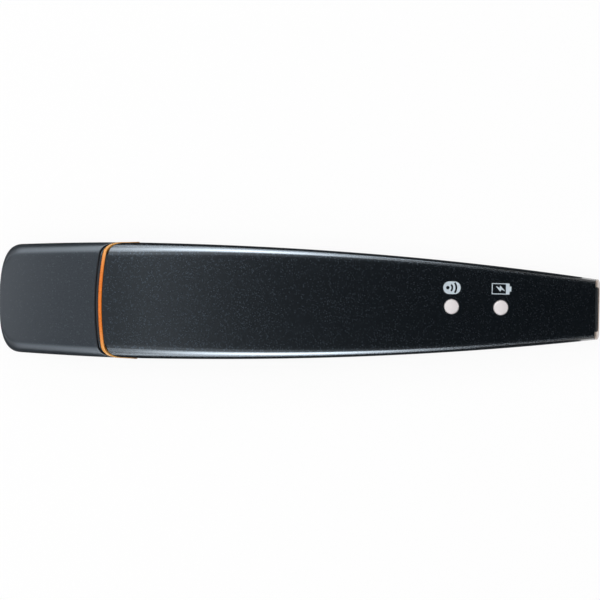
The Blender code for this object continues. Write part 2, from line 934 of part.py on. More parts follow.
def make_roller():
    """The roller on its axle, with the slotted disc at one end. They turn about the same line."""
    axle_length = 2 * (disc_y + disc_thickness / 2 + axle_side_gap)
    centre = (roller_x, 0, roller_z)
    axle = rod_mesh("roller_axle", axle_radius, axle_length, "Y", plain_round_steps)
    add("roller_axle", axle, steel, centre)
    roller_mesh = rod_mesh("tracking_roller", roller_radius, roller_width, "Y")
    roller = add("tracking_roller", roller_mesh, soft_rubber, centre)
    bore_length = roller_width + 2 * cut_overrun
    bore = rod_mesh("roller_bore", axle_radius + running_fit, bore_length, "Y", plain_round_steps)
    cut(roller, add_cutter("roller_bore", bore, centre))
    corners = []
    for tooth in range(disc_teeth):
        for share, radius in (
            (0, disc_radius),
            (tooth_share, disc_radius),
            (tooth_share, disc_radius - disc_slot_depth),
            (1, disc_radius - disc_slot_depth),
        ):
            angle = 2 * math.pi * (tooth + share) / disc_teeth
            corners.append((radius * math.cos(angle), radius * math.sin(angle)))
    disc = flat_outline(
        "encoder_disc", corners, disc_thickness, steel, (roller_x, disc_y, roller_z), (math.pi / 2, 0, 0)
    )
    hole_length = disc_thickness + 2 * cut_overrun
    hole = rod_mesh("disc_hole", axle_radius + running_fit, hole_length, "Y", plain_round_steps)
    cut(disc, add_cutter("disc_hole", hole, (roller_x, disc_y, roller_z)))


def make_carriage():
    """The carriage: two arms that hold the axle, a bridge behind them and a push rod."""
    housing = nose_section(bridge_x)
    half_width = housing.half_width - nose_wall - fit
    corner_radius = nose_edge_radius - nose_wall
    loops = []
    for x in (bridge_x - bridge_thickness / 2, bridge_x + bridge_thickness / 2):
        loops.append(flat_loop(x, half_width, bridge_height / 2, corner_radius, roller_z))
    bridge = lofted("trigger_carriage", loops, first_cap=True, last_cap=True)
    carriage = add("trigger_carriage", bridge, matt_black)
    arm_front_x = roller_x - arm_nose
    arm_rear_x = bridge_x
    for side in (-1, 1):
        arm = block_mesh("arm", arm_rear_x - arm_front_x, arm_thickness, arm_height)
        tool = add_cutter("arm", arm, ((arm_rear_x + arm_front_x) / 2, side * arm_y, roller_z))
        join(carriage, tool)
    rod_end_x = switch_front_x() - press_travel - fit
    rod_length = rod_end_x - bridge_x
    rod = rod_mesh("push_rod", push_rod_radius, rod_length, "X", plain_round_steps)
    join(carriage, add_cutter("push_rod", rod, (bridge_x + rod_length / 2, 0, roller_z)))
    hole_length = 2 * (arm_y + arm_thickness)
    hole = rod_mesh("axle_hole", axle_radius + running_fit, hole_length, "Y", plain_round_steps)
    cut(carriage, add_cutter("axle_hole", hole, (roller_x, 0, roller_z)))


def make_light_gate():
    """The forked light gate in front of the bridge, which straddles the disc's rear edge."""
    width = disc_thickness + 2 * (gate_side_gap + gate_wall)
    front_x = roller_x + disc_radius - disc_slot_depth - gate_side_gap
    rear_x = bridge_x - bridge_thickness / 2 - fit
    length = rear_x - front_x
    centre = Vector(((front_x + rear_x) / 2, disc_y, roller_z))
    mesh = block_mesh("encoder_sensor", length, width, gate_height)
    gate = add("encoder_sensor", mesh, chip_black, centre)
    slot = block_mesh("gate_slot", length, width - 2 * gate_wall, gate_height + cut_overrun)
    cut(gate, add_cutter("gate_slot", slot, centre - Vector((gate_wall, 0, 0))))


def switch_front_x():
    return place_x(head_board_place) - fit - switch_depth


def holder_x():
    return place_x(holder_place)


def make_springs():
    """Two coil springs between the bridge and the lens holder."""
    start_x = bridge_x + bridge_thickness / 2 + fit + spring_wire_radius
    end_x = holder_x() - fit - spring_wire_radius
    points_per_turn = 8
    count = spring_turns * points_per_turn + 1
    for name, side in (("trigger_spring_left", 1), ("trigger_spring_right", -1)):
        curve = bpy.data.curves.new(name, "CURVE")
        curve.dimensions = "3D"
        curve.bevel_depth = spring_wire_radius
        curve.bevel_resolution = 1
        curve.use_fill_caps = True
        line = curve.splines.new("POLY")
        line.points.add(count - 1)
        for step, point in enumerate(line.points):
            share = step / (count - 1)
            angle = 2 * math.pi * spring_turns * share
            y = side * spring_spread + spring_radius * math.cos(angle)
            z = roller_z + spring_radius * math.sin(angle)
            point.co = (between(start_x, end_x, share), y, z, 1)
        coil = bpy.data.objects.new(name, curve)
        parts.objects.link(coil)
        as_mesh(coil, spring_steel)


def head_plate(name, x, thickness, material):
    """A plate across the inside of the head moulding."""
    inset = cap_wall + fit + nose_wall + fit
    loops = [pen_loop(x, inset), pen_loop(x + thickness, inset)]
    return add(name, lofted(name, loops, first_cap=True, last_cap=True), material)


def make_optics():
    """The lens in its holder, and the head board with the image sensor, lamps and switch."""
    lens_z = axis_z + lens_rise
    holder = head_plate("lens_holder", holder_x(), holder_thickness, matt_black)
    middle_x = holder_x() + holder_thickness / 2
    bore_length = holder_thickness + 2 * cut_overrun
    bore = rod_mesh("lens_bore", lens_radius + close_fit, bore_length, "X")
    cut(holder, add_cutter("lens_bore", bore, (middle_x, 0, lens_z)))
    guide = rod_mesh("rod_guide", push_rod_radius + close_fit, bore_length, "X", plain_round_steps)
    cut(holder, add_cutter("rod_guide", guide, (middle_x, 0, roller_z)))
    lens_mesh = rod_mesh("scan_lens", lens_radius, lens_length, "X")
    lens = add("scan_lens", lens_mesh, gloss_black, (middle_x, 0, lens_z))
    soften(lens, part_edge)
    board_x = place_x(head_board_place)
    head_plate("head_board", board_x, head_board_thickness, circuit)
    sensor = block_mesh("image_sensor", sensor_thickness, sensor_width, sensor_height)
    add("image_sensor", sensor, chip_black, (board_x - fit - sensor_thickness / 2, 0, lens_z))
    switch = block_mesh("trigger_switch", switch_depth, switch_width, switch_height)
    add("trigger_switch", switch, chip_black, (board_x - fit - switch_depth / 2, 0, roller_z))
    for name, side in (("lamp_left", 1), ("lamp_right", -1)):
        lamp = block_mesh(name, lamp_depth, lamp_width, lamp_height)
        add(name, lamp, lit_white, (holder_x() - fit - lamp_depth / 2, side * lamp_spread, lens_z))


def make_main_board():
    """The main board, cut to the casing's plan, with holes for the two bosses."""
    front_x = place_x(board_front_place)
    rear_x = tail_x - board_rear_gap
    side = []
    for step in range(board_stations + 1):
        x = between(front_x, rear_x, step / board_stations)
        side.append((x, pen_section(x).half_width - board_margin))
    corners = side + [(x, -y) for x, y in reversed(side)]
    middle_z = board_floor + board_thickness / 2
    board = flat_outline("main_board", corners, board_thickness, circuit, (0, 0, middle_z))
    for name, x, y, under_board in screw_places():
        if under_board:
            radius = boss_neck_radius + boss_hole_gap
            low, high = board_floor - cut_overrun, board_top + cut_overrun
            cut(board, upright(name + "_board_hole", radius, low, high, x, y))


def on_board(name, size, material, x, y, floor, edge):
    """A bevelled block of a length, width and height, standing on a floor above the board."""
    part = add(name, block_mesh(name, *size), material, (x, y, floor + size[2] / 2))
    soften(part, edge)


def make_electronics():
    """The battery on its pad, and the larger components of the main board."""
    battery_x = place_x(battery_place) + battery_length / 2
    battery_floor = chip_floor + pad_thickness + fit
    battery_size = (battery_length, battery_width, battery_height)
    on_board("battery", battery_size, pouch_silver, battery_x, 0, battery_floor, battery_edge)
    pad_size = (battery_length - 2 * pad_margin, battery_width - 2 * pad_margin, pad_thickness)
    on_board("battery_pad", pad_size, foam, battery_x, 0, chip_floor, part_edge)
    chip_x = tail_x - chip_place
    processor_size = (processor_side, processor_side, processor_height)
    on_board("processor", processor_size, chip_black, chip_x, -chip_spread, chip_floor, part_edge)
    memory_size = (memory_length, memory_width, processor_height)
    on_board("memory_chip", memory_size, chip_black, chip_x, chip_spread, chip_floor, part_edge)
    radio_size = (radio_length, radio_width, radio_height)
    radio_x = light_chip_x(tail_x - charge_light_place) - radio_place
    on_board("radio_module", radio_size, steel, radio_x, 0, chip_floor, part_edge)


def make_battery_leads():
    """The battery's plug on the board, and the two leads that loop forward from the battery to it."""
    plug_x = place_x(board_front_place) + plug_setback + plug_length / 2
    plug_size = (plug_length, plug_width, plug_height)
    on_board("battery_plug", plug_size, lit_white, plug_x, plug_offset, chip_floor, part_edge)
    battery_middle_z = chip_floor + pad_thickness + fit + battery_height / 2
    start = Vector((place_x(battery_place) - fit, 0, battery_middle_z))
    end = Vector((plug_x - plug_length / 2 - fit, 0, chip_floor + plug_height / 2))
    ahead = Vector((-lead_reach, 0, 0))
    for name, side, material in (
        ("battery_lead_positive", 1, red_lead),
        ("battery_lead_negative", -1, soft_rubber),
    ):
        curve = bpy.data.curves.new(name, "CURVE")
        curve.dimensions = "3D"
        curve.bevel_depth = lead_radius
        curve.bevel_resolution = 1
        curve.use_fill_caps = True
        line = curve.splines.new("POLY")
        line.points.add(lead_steps)
        offset = Vector((0, plug_offset + side * lead_spread / 2, 0))
        for point, place in zip(line.points, bend(start, start + ahead, end + ahead, end, lead_steps)):
            point.co = (*(place + offset), 1)
        lead = bpy.data.objects.new(name, curve)
        parts.objects.link(lead)
        as_mesh(lead, material)


def bend(first, second, third, last, steps):
    """Points along a curve from the first point to the last, drawn towards the two between."""
    places = []
    for step in range(steps + 1):
        share = step / steps
        near = first.lerp(second, share)
        middle = second.lerp(third, share)
        far = third.lerp(last, share)
        places.append(near.lerp(middle, share).lerp(middle.lerp(far, share), share))
    return places


def make_head_flex():
    """The flat cable from the head board's rear face down to its socket on the main board."""
    socket_x = place_x(board_front_place) + plug_setback + flex_socket_length / 2
    socket_size = (flex_socket_length, cable_width + 2 * flex_socket_rim, flex_socket_height)
    on_board("flex_socket", socket_size, matt_black, socket_x, 0, chip_floor, part_edge)
    start_x = place_x(head_board_place) + head_board_thickness + fit
    start_z = axis_z
    end_x = socket_x - flex_socket_length / 2 - fit
    end_z = chip_floor + flex_socket_height / 2
    rows = []
    for step in range(cable_steps + 1):
        share = step / cable_steps
        ease = share * share * (3 - 2 * share)
        hump = cable_rise * math.sin(math.pi * share)
        x = between(start_x, end_x, share)
        z = between(start_z, end_z, ease) + hump
        rows.append([Vector((x, cable_width / 2, z)), Vector((x, -cable_width / 2, z))])
    cable = add("head_flex", strip("head_flex", rows, Vector((0, 0, 1))), amber_film)
    thicken(cable, cable_thickness)


def leaning(loop, x):
    """The outline moved onto a plane that meets the underside at x and leans as the tail does."""
    tail = pen_section(tail_x)
    return [Vector((x - tail_lean * (z - tail.bottom) / (2 * tail.rise), y, z)) for _, y, z in loop]


def make_tail():
    """The bezel, the black insert that fills its opening, and the charging socket with its tongue."""
    middle_z = pen_section(tail_x).middle
    half_width = recess_width / 2
    half_height = recess_height / 2
    recess = flat_loop(tail_x, half_width, half_height, recess_radius, middle_z)
    boss_radius = recess_radius - close_fit
    boss = flat_loop(tail_x, half_width - close_fit, half_height - close_fit, boss_radius, middle_z)
    bezel_front_x = tail_x - bezel_thickness
    loops = [
        leaning(recess, tail_x),
        pen_loop(tail_x, bezel_chamfer, lean_share=1),
        pen_loop(tail_x - bezel_chamfer, lean_share=1),
        pen_loop(bezel_front_x, lean_share=1),
        leaning(recess, bezel_front_x),
    ]
    add("rear_bezel", lofted("rear_bezel", loops, round_again=True), warm_metal)

    socket_z = chip_floor + socket_height / 2
    insert_inset = shell_wall + fit
    insert_front_x = casing_rear_x - insert_depth
    insert_loops = [
        leaning(boss, tail_x - insert_setback),
        leaning(boss, casing_rear_x),
        leaning(pen_loop(casing_rear_x, insert_inset), casing_rear_x),
        pen_loop(insert_front_x, insert_inset),
    ]
    insert_mesh = lofted("port_insert", insert_loops, first_cap=True, last_cap=True)
    insert = add("port_insert", insert_mesh, matt_black)
    opening_front_x = insert_front_x - cut_overrun
    opening_rear_x = tail_x + cut_overrun
    opening = socket_loops("socket_opening", close_fit, opening_front_x, opening_rear_x, socket_z)
    cut(insert, add_cutter("socket_opening", opening))

    socket_front_x = casing_rear_x - tail_lean - socket_depth
    socket_rear_x = casing_rear_x - tail_lean
    add("charging_socket", socket_cup(socket_front_x, socket_rear_x, socket_z), steel)
    tongue_x = socket_front_x + socket_wall + fit + tongue_length / 2
    tongue = block_mesh("socket_tongue", tongue_length, tongue_width, tongue_height)
    add("socket_tongue", tongue, matt_black, (tongue_x, 0, socket_z + tongue_rise))


def socket_outline(grow):
    """Half of the socket's outline, wider at the top, as (y, z) about its middle."""
    half_width = socket_width / 2 + grow
    half_height = socket_height / 2 + grow
    return [
        (half_width, half_height),
        (half_width, 0.0),
        (half_width - socket_taper, -half_height),
    ]


def socket_ring(x, grow, middle_z):
    half = socket_outline(grow)
    outline = half + [(-y, z) for y, z in reversed(half)]
    return [Vector((x, y, middle_z + z)) for y, z in outline]


def socket_loops(name, grow, front_x, rear_x, middle_z):
    """A solid with the socket's outline."""
    loops = [socket_ring(front_x, grow, middle_z), socket_ring(rear_x, grow, middle_z)]
    return lofted(name, loops, first_cap=True, last_cap=True)


def socket_cup(front_x, rear_x, middle_z):
    """The socket's shell, open at the rear and closed at the front."""
    loops = [
        socket_ring(front_x, 0.0, middle_z),
        socket_ring(rear_x, 0.0, middle_z),
        socket_ring(rear_x, -socket_wall, middle_z),
        socket_ring(front_x + socket_wall, -socket_wall, middle_z),
    ]
    return lofted("charging_socket", loops, first_cap=True, last_cap=True)


make_cap()
make_accent_ring()
make_nose_housing()
make_top_shell()
make_bottom_shell()
make_lights()
make_screws()
make_window()
make_roller()
make_carriage()
make_light_gate()
make_springs()
make_optics()
make_main_board()
make_electronics()
make_battery_leads()
make_head_flex()
make_tail()
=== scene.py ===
import math

import bmesh
import bpy
from mathutils import Matrix, Vector


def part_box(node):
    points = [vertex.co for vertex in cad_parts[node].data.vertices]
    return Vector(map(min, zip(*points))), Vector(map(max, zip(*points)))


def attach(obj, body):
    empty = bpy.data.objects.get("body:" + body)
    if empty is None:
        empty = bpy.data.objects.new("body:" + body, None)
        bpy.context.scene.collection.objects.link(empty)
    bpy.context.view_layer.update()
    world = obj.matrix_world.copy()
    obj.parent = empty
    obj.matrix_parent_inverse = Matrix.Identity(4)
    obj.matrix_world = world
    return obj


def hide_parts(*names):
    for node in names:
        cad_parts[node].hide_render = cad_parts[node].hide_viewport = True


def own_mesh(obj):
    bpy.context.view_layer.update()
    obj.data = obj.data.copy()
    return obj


# Scanning pen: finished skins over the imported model, printed marks, floor, light and camera.
# Metres, in the model's own frame: the cap points to -X and the lights look up.

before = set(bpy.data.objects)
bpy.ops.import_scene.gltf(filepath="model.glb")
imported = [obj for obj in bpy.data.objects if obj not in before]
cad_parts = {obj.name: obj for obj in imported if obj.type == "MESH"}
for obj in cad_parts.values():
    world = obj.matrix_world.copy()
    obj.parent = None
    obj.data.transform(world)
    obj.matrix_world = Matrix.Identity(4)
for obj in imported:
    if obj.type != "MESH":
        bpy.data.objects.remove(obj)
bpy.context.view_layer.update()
scene = bpy.context.scene
print("frame loaded, with", len(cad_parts), "nodes")

# The pen's outer skin, as the solids have it
pen = {
    "length": 0.140,
    "headPlace": 0.032,
    "headWidth": 0.027,
    "headHeight": 0.018,
    "capSideDraw": 0.00115,
    "capTopDraw": 0.0010,
    "tailWidth": 0.0139,
    "tailHeight": 0.0090,
    "tailLift": 0.0010,
    "flatBellyEnd": 0.085,
    "headEdgeRadius": 0.0032,
    "tailEdgeRadius": 0.0014,
    "edgeFadePower": 2.5,
    "headSideDraft": 0.00025,
    "tailSideDraft": 0.0005,
    "topCrown": 0.00035,
    "taperPower": 2.1,
    "topSlopePower": 1.5,
    "capTaperPower": 1.6,
    "leastRadius": 0.0002,
    "tailLean": 0.0009,
    "leanFade": 0.020,
}
facets = {"wall": 8, "edge": 12, "crown": 12, "flat": 4, "round": 64}

capEndX = -pen["length"] / 2
tailX = pen["length"] / 2
headX = capEndX + pen["headPlace"]


def between(low, high, share):
    return low + (high - low) * share


def clamp(value, low=0.0, high=1.0):
    return min(max(value, low), high)


class Section:
    # one cross-section: flat sides, round edges and a crowned top
    def __init__(self, halfWidth, top, bottom, radius, draft, crown):
        self.halfWidth = halfWidth
        self.top = top
        self.bottom = bottom
        self.radius = radius
        self.draft = draft
        self.crown = crown
        self.middle = (top + bottom) / 2
        self.rise = (top - bottom) / 2

    def quarter(self, inset, crown, stepsIn):
        # from the seam up the side, round the edge and in to the middle
        width = self.halfWidth - inset
        rise = self.rise - inset
        radius = max(self.radius - inset, pen["leastRadius"])
        lean = math.atan2(self.draft, self.rise)
        dome = math.atan2(2 * crown, width - self.draft - radius)
        centreZ = rise - crown - radius * math.cos(dome)
        centreY = width - (radius + centreZ * math.sin(lean)) / math.cos(lean)
        footY = centreY + radius * math.cos(lean)
        footZ = centreZ + radius * math.sin(lean)
        points = []
        for step in range(facets["wall"]):
            share = step / facets["wall"]
            points.append((width + (footY - width) * share, footZ * share))
        for step in range(facets["edge"] + 1):
            angle = lean + (math.pi / 2 - dome - lean) * step / facets["edge"]
            points.append((centreY + radius * math.cos(angle), centreZ + radius * math.sin(angle)))
        edgeY, edgeZ = points[-1]
        for step in range(1, stepsIn + 1):
            share = 1 - step / stepsIn
            points.append((edgeY * share, rise - (rise - edgeZ) * share**2))
        return points

    def loop(self, inset=0.0):
        upper = self.quarter(inset, self.crown, facets["crown"])
        lower = self.quarter(inset, 0.0, facets["flat"])
        points = [(y, self.middle + z) for y, z in upper]
        points += [(-y, self.middle + z) for y, z in reversed(upper[:-1])]
        points += [(-y, self.middle - z) for y, z in lower[1:]]
        points += [(y, self.middle - z) for y, z in reversed(lower[1:-1])]
        return points

    def topAt(self, y):
        # height of the crowned top face, off the middle line
        edgeY, edgeZ = self.quarter(0.0, self.crown, 1)[-2]
        return self.middle + self.rise - (self.rise - edgeZ) * (y / edgeY) ** 2


upperCount = 2 * (facets["wall"] + facets["edge"] + 1 + facets["crown"]) - 1

# The cap's end: crowned seen from above, with a small round along its edges
dome = {
    "length": 0.0055,
    "power": 3.2,
    "sidePower": 2.5,
    "flatShare": 0.26,
    "endWall": 0.0024,
    "endRound": 0.0010,
}


def domeShare(distance):
    if distance >= dome["length"]:
        return 1.0
    if distance <= 0:
        return dome["flatShare"]
    closed = (1 - distance / dome["length"]) ** dome["power"]
    return (1 - closed) ** (1 / dome["sidePower"])


def endDrop(distance):
    reach = clamp(dome["endRound"] - distance, 0.0, dome["endRound"])
    return dome["endRound"] - math.sqrt(dome["endRound"] ** 2 - reach**2)


def penSection(x):
    tailShare = clamp((x - headX) / (tailX - headX))
    capShare = clamp((headX - x) / pen["headPlace"])
    draw = capShare ** pen["capTaperPower"]
    halfWidth = between(pen["headWidth"], pen["tailWidth"], tailShare ** pen["taperPower"]) / 2
    halfWidth -= pen["capSideDraw"] * draw
    tailTop = pen["tailLift"] + pen["tailHeight"]
    top = between(pen["headHeight"], tailTop, tailShare ** pen["topSlopePower"])
    top -= pen["capTopDraw"] * draw
    bellyX = capEndX + pen["flatBellyEnd"]
    bottom = pen["tailLift"] * max((x - bellyX) / (tailX - bellyX), 0) ** 2
    fullness = (1 - tailShare) ** pen["edgeFadePower"]
    radius = between(pen["tailEdgeRadius"], pen["headEdgeRadius"], fullness)
    draft = between(pen["headSideDraft"], pen["tailSideDraft"], tailShare)
    size = domeShare(x - capEndX)
    drop = endDrop(x - capEndX)
    return Section(
        halfWidth * size,
        top - drop,
        bottom + drop,
        radius * size,
        draft * size,
        pen["topCrown"] * size,
    )


# The swept joint between head and casing
joint = {
    "place": 0.0230,
    "bow": 0.0013,
    "sweep": 0.0071,
    "sweepPower": 1.6,
    "casingFade": 0.060,
    "capFade": 0.014,
    "fit": 0.0003,
    "closeFit": 0.00015,
    "lipThickness": 0.0003,
    "lipInset": 0.0003,
    "ringWidth": 0.0008,
    "ringProud": 0.00015,
    "wall": 0.0014,
    "capWall": 0.0016,
    "seam": 0.0002,
}
mouthX = capEndX + joint["place"]
casingFrontX = mouthX + joint["ringWidth"] + joint["fit"]
capEdgeX = mouthX - joint["closeFit"] - joint["lipThickness"] - joint["fit"]


def mouthOffsets():
    section = penSection(mouthX)
    offsets = []
    for y, z in section.loop():
        reach = section.rise - (section.crown if z > section.middle else 0)
        up = min(abs(z - section.middle) / reach, 1)
        sweep = joint["sweep"] * (1 - up**2) ** joint["sweepPower"]
        offsets.append(joint["bow"] * (y / section.halfWidth) ** 2 + sweep)
    return offsets


def leanOffsets():
    section = penSection(tailX)
    return [-pen["tailLean"] * (z - section.bottom) / (2 * section.rise) for y, z in section.loop()]


mouthSweeps = mouthOffsets()
tailLeans = leanOffsets()


def penLoop(x, inset=0.0, mouthShare=0.0, leanShare=0.0, proud=0.0):
    points = []
    for place, (sweep, lean) in enumerate(zip(mouthSweeps, tailLeans)):
        along = x + sweep * mouthShare + lean * leanShare
        section = penSection(along)
        y, z = section.loop(inset)[place]
        points.append(Vector((along, y * (1 + proud / section.halfWidth), z)))
    return points


def casingLoop(x, inset=0.0):
    mouthShare = max(1 - (x - casingFrontX) / joint["casingFade"], 0)
    leanShare = max(1 - (tailX - x) / pen["leanFade"], 0)
    return penLoop(x, inset, mouthShare, leanShare)


# Mesh helpers
sharpAngle = math.radians(38)


def smooth(mesh):
    mesh.shade_smooth()
    mesh.set_sharp_from_angle(angle=sharpAngle)


def link(name, data):
    piece = bpy.data.objects.new(name, data)
    scene.collection.objects.link(piece)
    return piece


def keepMesh(name, shape):
    bmesh.ops.recalc_face_normals(shape, faces=shape.faces)
    mesh = bpy.data.meshes.new(name)
    shape.to_mesh(mesh)
    shape.free()
    smooth(mesh)
    return link(name, mesh)


def pointRows(shape, rows):
    return [[shape.verts.new(point) for point in row] for row in rows]


def strip(shape, near, far):
    # faces between two rows of points
    for place in range(len(near) - 1):
        shape.faces.new((near[place], near[place + 1], far[place + 1], far[place]))


def skin(name, loops, firstCap=False, lastCap=False, roundAgain=False):
    # a skin through outlines of equally many points
    shape = bmesh.new()
    rows = pointRows(shape, loops)
    if roundAgain:
        rows.append(rows[0])
    for near, far in zip(rows, rows[1:]):
        strip(shape, near + near[:1], far + far[:1])
    if firstCap:
        shape.faces.new(rows[0])
    if lastCap:
        shape.faces.new(rows[-1])
    return keepMesh(name, shape)


def shellOf(name, outerRows, innerRows):
    # an open skin with its inner face, closed along its borders
    shape = bmesh.new()
    outer = pointRows(shape, outerRows)
    inner = pointRows(shape, innerRows)
    borders = [(outer[end], inner[end]) for end in (0, -1)]
    borders += [([row[end] for row in outer], [row[end] for row in inner]) for end in (0, -1)]
    for near, far in list(zip(outer, outer[1:])) + list(zip(inner, inner[1:])) + borders:
        strip(shape, near, far)
    return keepMesh(name, shape)


def turned(name, profile, place, steps=None, tilt=0.0):
    # (radius, height) points turned round an upright axis; the ends of the profile lie on it
    steps = steps or facets["round"]
    shape = bmesh.new()
    rings = []
    for radius, height in profile:
        if radius == 0:
            rings.append([shape.verts.new((0, 0, height))])
            continue
        ring = []
        for step in range(steps):
            angle = 2 * math.pi * step / steps
            ring.append(shape.verts.new((radius * math.cos(angle), radius * math.sin(angle), height)))
        rings.append(ring)
    for near, far in zip(rings, rings[1:]):
        for step in range(steps):
            after = (step + 1) % steps
            if len(near) == 1:
                shape.faces.new((near[0], far[step], far[after]))
            elif len(far) == 1:
                shape.faces.new((near[step], near[after], far[0]))
            else:
                shape.faces.new((near[step], near[after], far[after], far[step]))
    bmesh.ops.rotate(shape, verts=shape.verts, cent=(0, 0, 0), matrix=tiltMatrix(tilt))
    bmesh.ops.translate(shape, verts=shape.verts, vec=place)
    return keepMesh(name, shape)


def tiltMatrix(angle):
    return Matrix.Rotation(angle, 3, "Y")


def rod(name, radius, low, high, x, y, steps=48):
    return turned(name, [(0, high), (radius, high), (radius, low), (0, low)], (x, y, 0), steps)


def block(name, size, place, tilt=0.0):
    shape = bmesh.new()
    bmesh.ops.create_cube(shape, size=1)
    bmesh.ops.scale(shape, verts=shape.verts, vec=size)
    bmesh.ops.rotate(shape, verts=shape.verts, cent=(0, 0, 0), matrix=tiltMatrix(tilt))
    bmesh.ops.translate(shape, verts=shape.verts, vec=place)
    return keepMesh(name, shape)


def combine(piece, joins, cuts):
    # first the joins, then the cuts, kept in the mesh
    for tool in joins + cuts:
        change = piece.modifiers.new(tool.name, "BOOLEAN")
        change.operation = "UNION" if tool in joins else "DIFFERENCE"
        change.solver = "EXACT"
        change.object = tool
    keepShape(piece)
    for tool in joins + cuts:
        bpy.data.objects.remove(tool, do_unlink=True)


def keepShape(piece):
    bpy.context.view_layer.update()
    seen = piece.evaluated_get(bpy.context.evaluated_depsgraph_get())
    mesh = bpy.data.meshes.new_from_object(seen)
    piece.modifiers.clear()
    piece.data = mesh
    smooth(mesh)


def rim(radius, steps=4):
    # a quarter round as (distance back from the rim, inset), from the outer skin to the rim's face
    places = []
    for step in range(steps + 1):
        angle = math.pi / 2 * step / steps
        places.append((radius * (1 - math.sin(angle)), radius * (1 - math.cos(angle))))
    return places


# Finishes


class Value:
    # a shader socket that can stand in a sum
    def __init__(self, nodes, socket):
        self.nodes = nodes
        self.socket = socket

    def sum(self, operation, first, second):
        return self.nodes.add("Math", {"operation": operation}, {0: first, 1: second})

    def __add__(self, other):
        return self.sum("ADD", self, other)

    def __radd__(self, other):
        return self.sum("ADD", other, self)

    def __sub__(self, other):
        return self.sum("SUBTRACT", self, other)

    def __rsub__(self, other):
        return self.sum("SUBTRACT", other, self)

    def __mul__(self, other):
        return self.sum("MULTIPLY", self, other)

    def __rmul__(self, other):
        return self.sum("MULTIPLY", other, self)

    def __gt__(self, other):
        return self.sum("GREATER_THAN", self, other)


class Nodes:
    def __init__(self, tree):
        self.tree = tree
        tree.nodes.clear()

    def add(self, kind, settings, sockets, out=0):
        # every node: its type, its settings, then the values or links of its sockets
        node = self.tree.nodes.new("ShaderNode" + kind)
        for key, setting in settings.items():
            if key == "stops":
                for place, stop in enumerate(setting):
                    elements = node.color_ramp.elements
                    element = elements[place] if place < 2 else elements.new(stop[0])
                    element.position = stop[0]
                    element.color = (*stop[1], 1.0)
            else:
                setattr(node, key, setting)
        for key, given in sockets.items():
            if isinstance(given, Value):
                self.tree.links.new(given.socket, node.inputs[key])
            elif isinstance(given, tuple) and len(given) == 3 and node.inputs[key].type == "RGBA":
                node.inputs[key].default_value = (*given, 1.0)
            else:
                node.inputs[key].default_value = given
        return Value(self, node.outputs[out]) if len(node.outputs) else None

    def colours(self, share, first, second):
        settings = {"data_type": "RGBA", "blend_type": "MIX"}
        return self.add("Mix", settings, {0: share, 6: first, 7: second}, 2)

    def where(self):
        return self.add("TexCoord", {}, {}, "Object")

    def speckle(self, size, detail=2.0, roughness=0.6):
        sockets = {"Vector": self.where(), "Scale": 1 / size, "Detail": detail, "Roughness": roughness}
        return self.add("TexNoise", {}, sockets, "Fac")

    def cells(self, size):
        # one random number for each grain
        sockets = {"Vector": self.where(), "Scale": 1 / size}
        shades = self.add("TexVoronoi", {"feature": "F1"}, sockets, "Color")
        return self.add("SeparateColor", {}, {0: shades}, 0)

    def along(self, axis):
        # the place along one axis: 0 along the pen, 1 across it, 2 up
        return self.add("SeparateXYZ", {}, {0: self.where()}, axis)

    def unsigned(self, value):
        return self.add("Math", {"operation": "ABSOLUTE"}, {0: value})

    def seenWhite(self):
        # 1 for what the camera sees, by itself, in gloss or through glass
        rays = ("Is Camera Ray", "Is Glossy Ray", "Is Transmission Ray")
        camera, gloss, glass = (self.add("LightPath", {}, {}, ray) for ray in rays)
        return self.level(camera + gloss + glass, 0.0, 1.0)

    def level(self, value, low, high):
        sockets = {"Value": value, "From Min": low, "From Max": high, "To Min": 0.0, "To Max": 1.0}
        return self.add("MapRange", {"clamp": True}, sockets)

    def bumps(self, height, distance):
        return self.add("Bump", {}, {"Height": height, "Distance": distance, "Strength": 1.0}, "Normal")

    def upperEdge(self, coat):
        # 1 on the rounded upper edges along both sides, 0 on the faces beside them
        facing = self.add("NewGeometry", {}, {}, "Normal")
        side, up = (self.add("SeparateXYZ", {}, {0: facing}, axis) for axis in (1, 2))
        steep = self.level(up, *coat["edgeFoot"])
        flat = self.level(up, *coat["edgeTop"])
        return steep * (1 - flat) * self.level(self.unsigned(side), *coat["edgeSide"])

    def surface(self, sockets):
        shader = self.add("BsdfPrincipled", {}, sockets, "BSDF")
        self.add("OutputMaterial", {}, {"Surface": shader})


# the part of a noise over which one shade passes into the other
mottle = (0.35, 0.65)


def finish(name):
    material = bpy.data.materials.new(name)
    material.use_nodes = True
    return material, Nodes(material.node_tree)


def coatLayers(nodes, coat):
    # what both paints share: a mottled colour, metal flakes and a clear coat on the upper edges
    grain = nodes.speckle(coat["grain"])
    cloud = nodes.speckle(coat["cloud"], 1.0)
    flakes = nodes.cells(coat["flakeSize"]) > 1 - coat["flakeShare"]
    paint = nodes.colours(nodes.level(grain, *coat["grainSpan"]), coat["colour"], coat["worn"])
    sockets = {
        "Roughness": coat["roughness"] + coat["grainRoughness"] * grain + coat["cloudRoughness"] * cloud,
        "Normal": nodes.bumps(grain, coat["relief"]),
        "Specular IOR Level": coat["shine"],
        "Coat Weight": nodes.upperEdge(coat),
        "Coat IOR": coat["edgeBend"],
        "Coat Roughness": coat["roughness"],
    }
    return paint, flakes, sockets


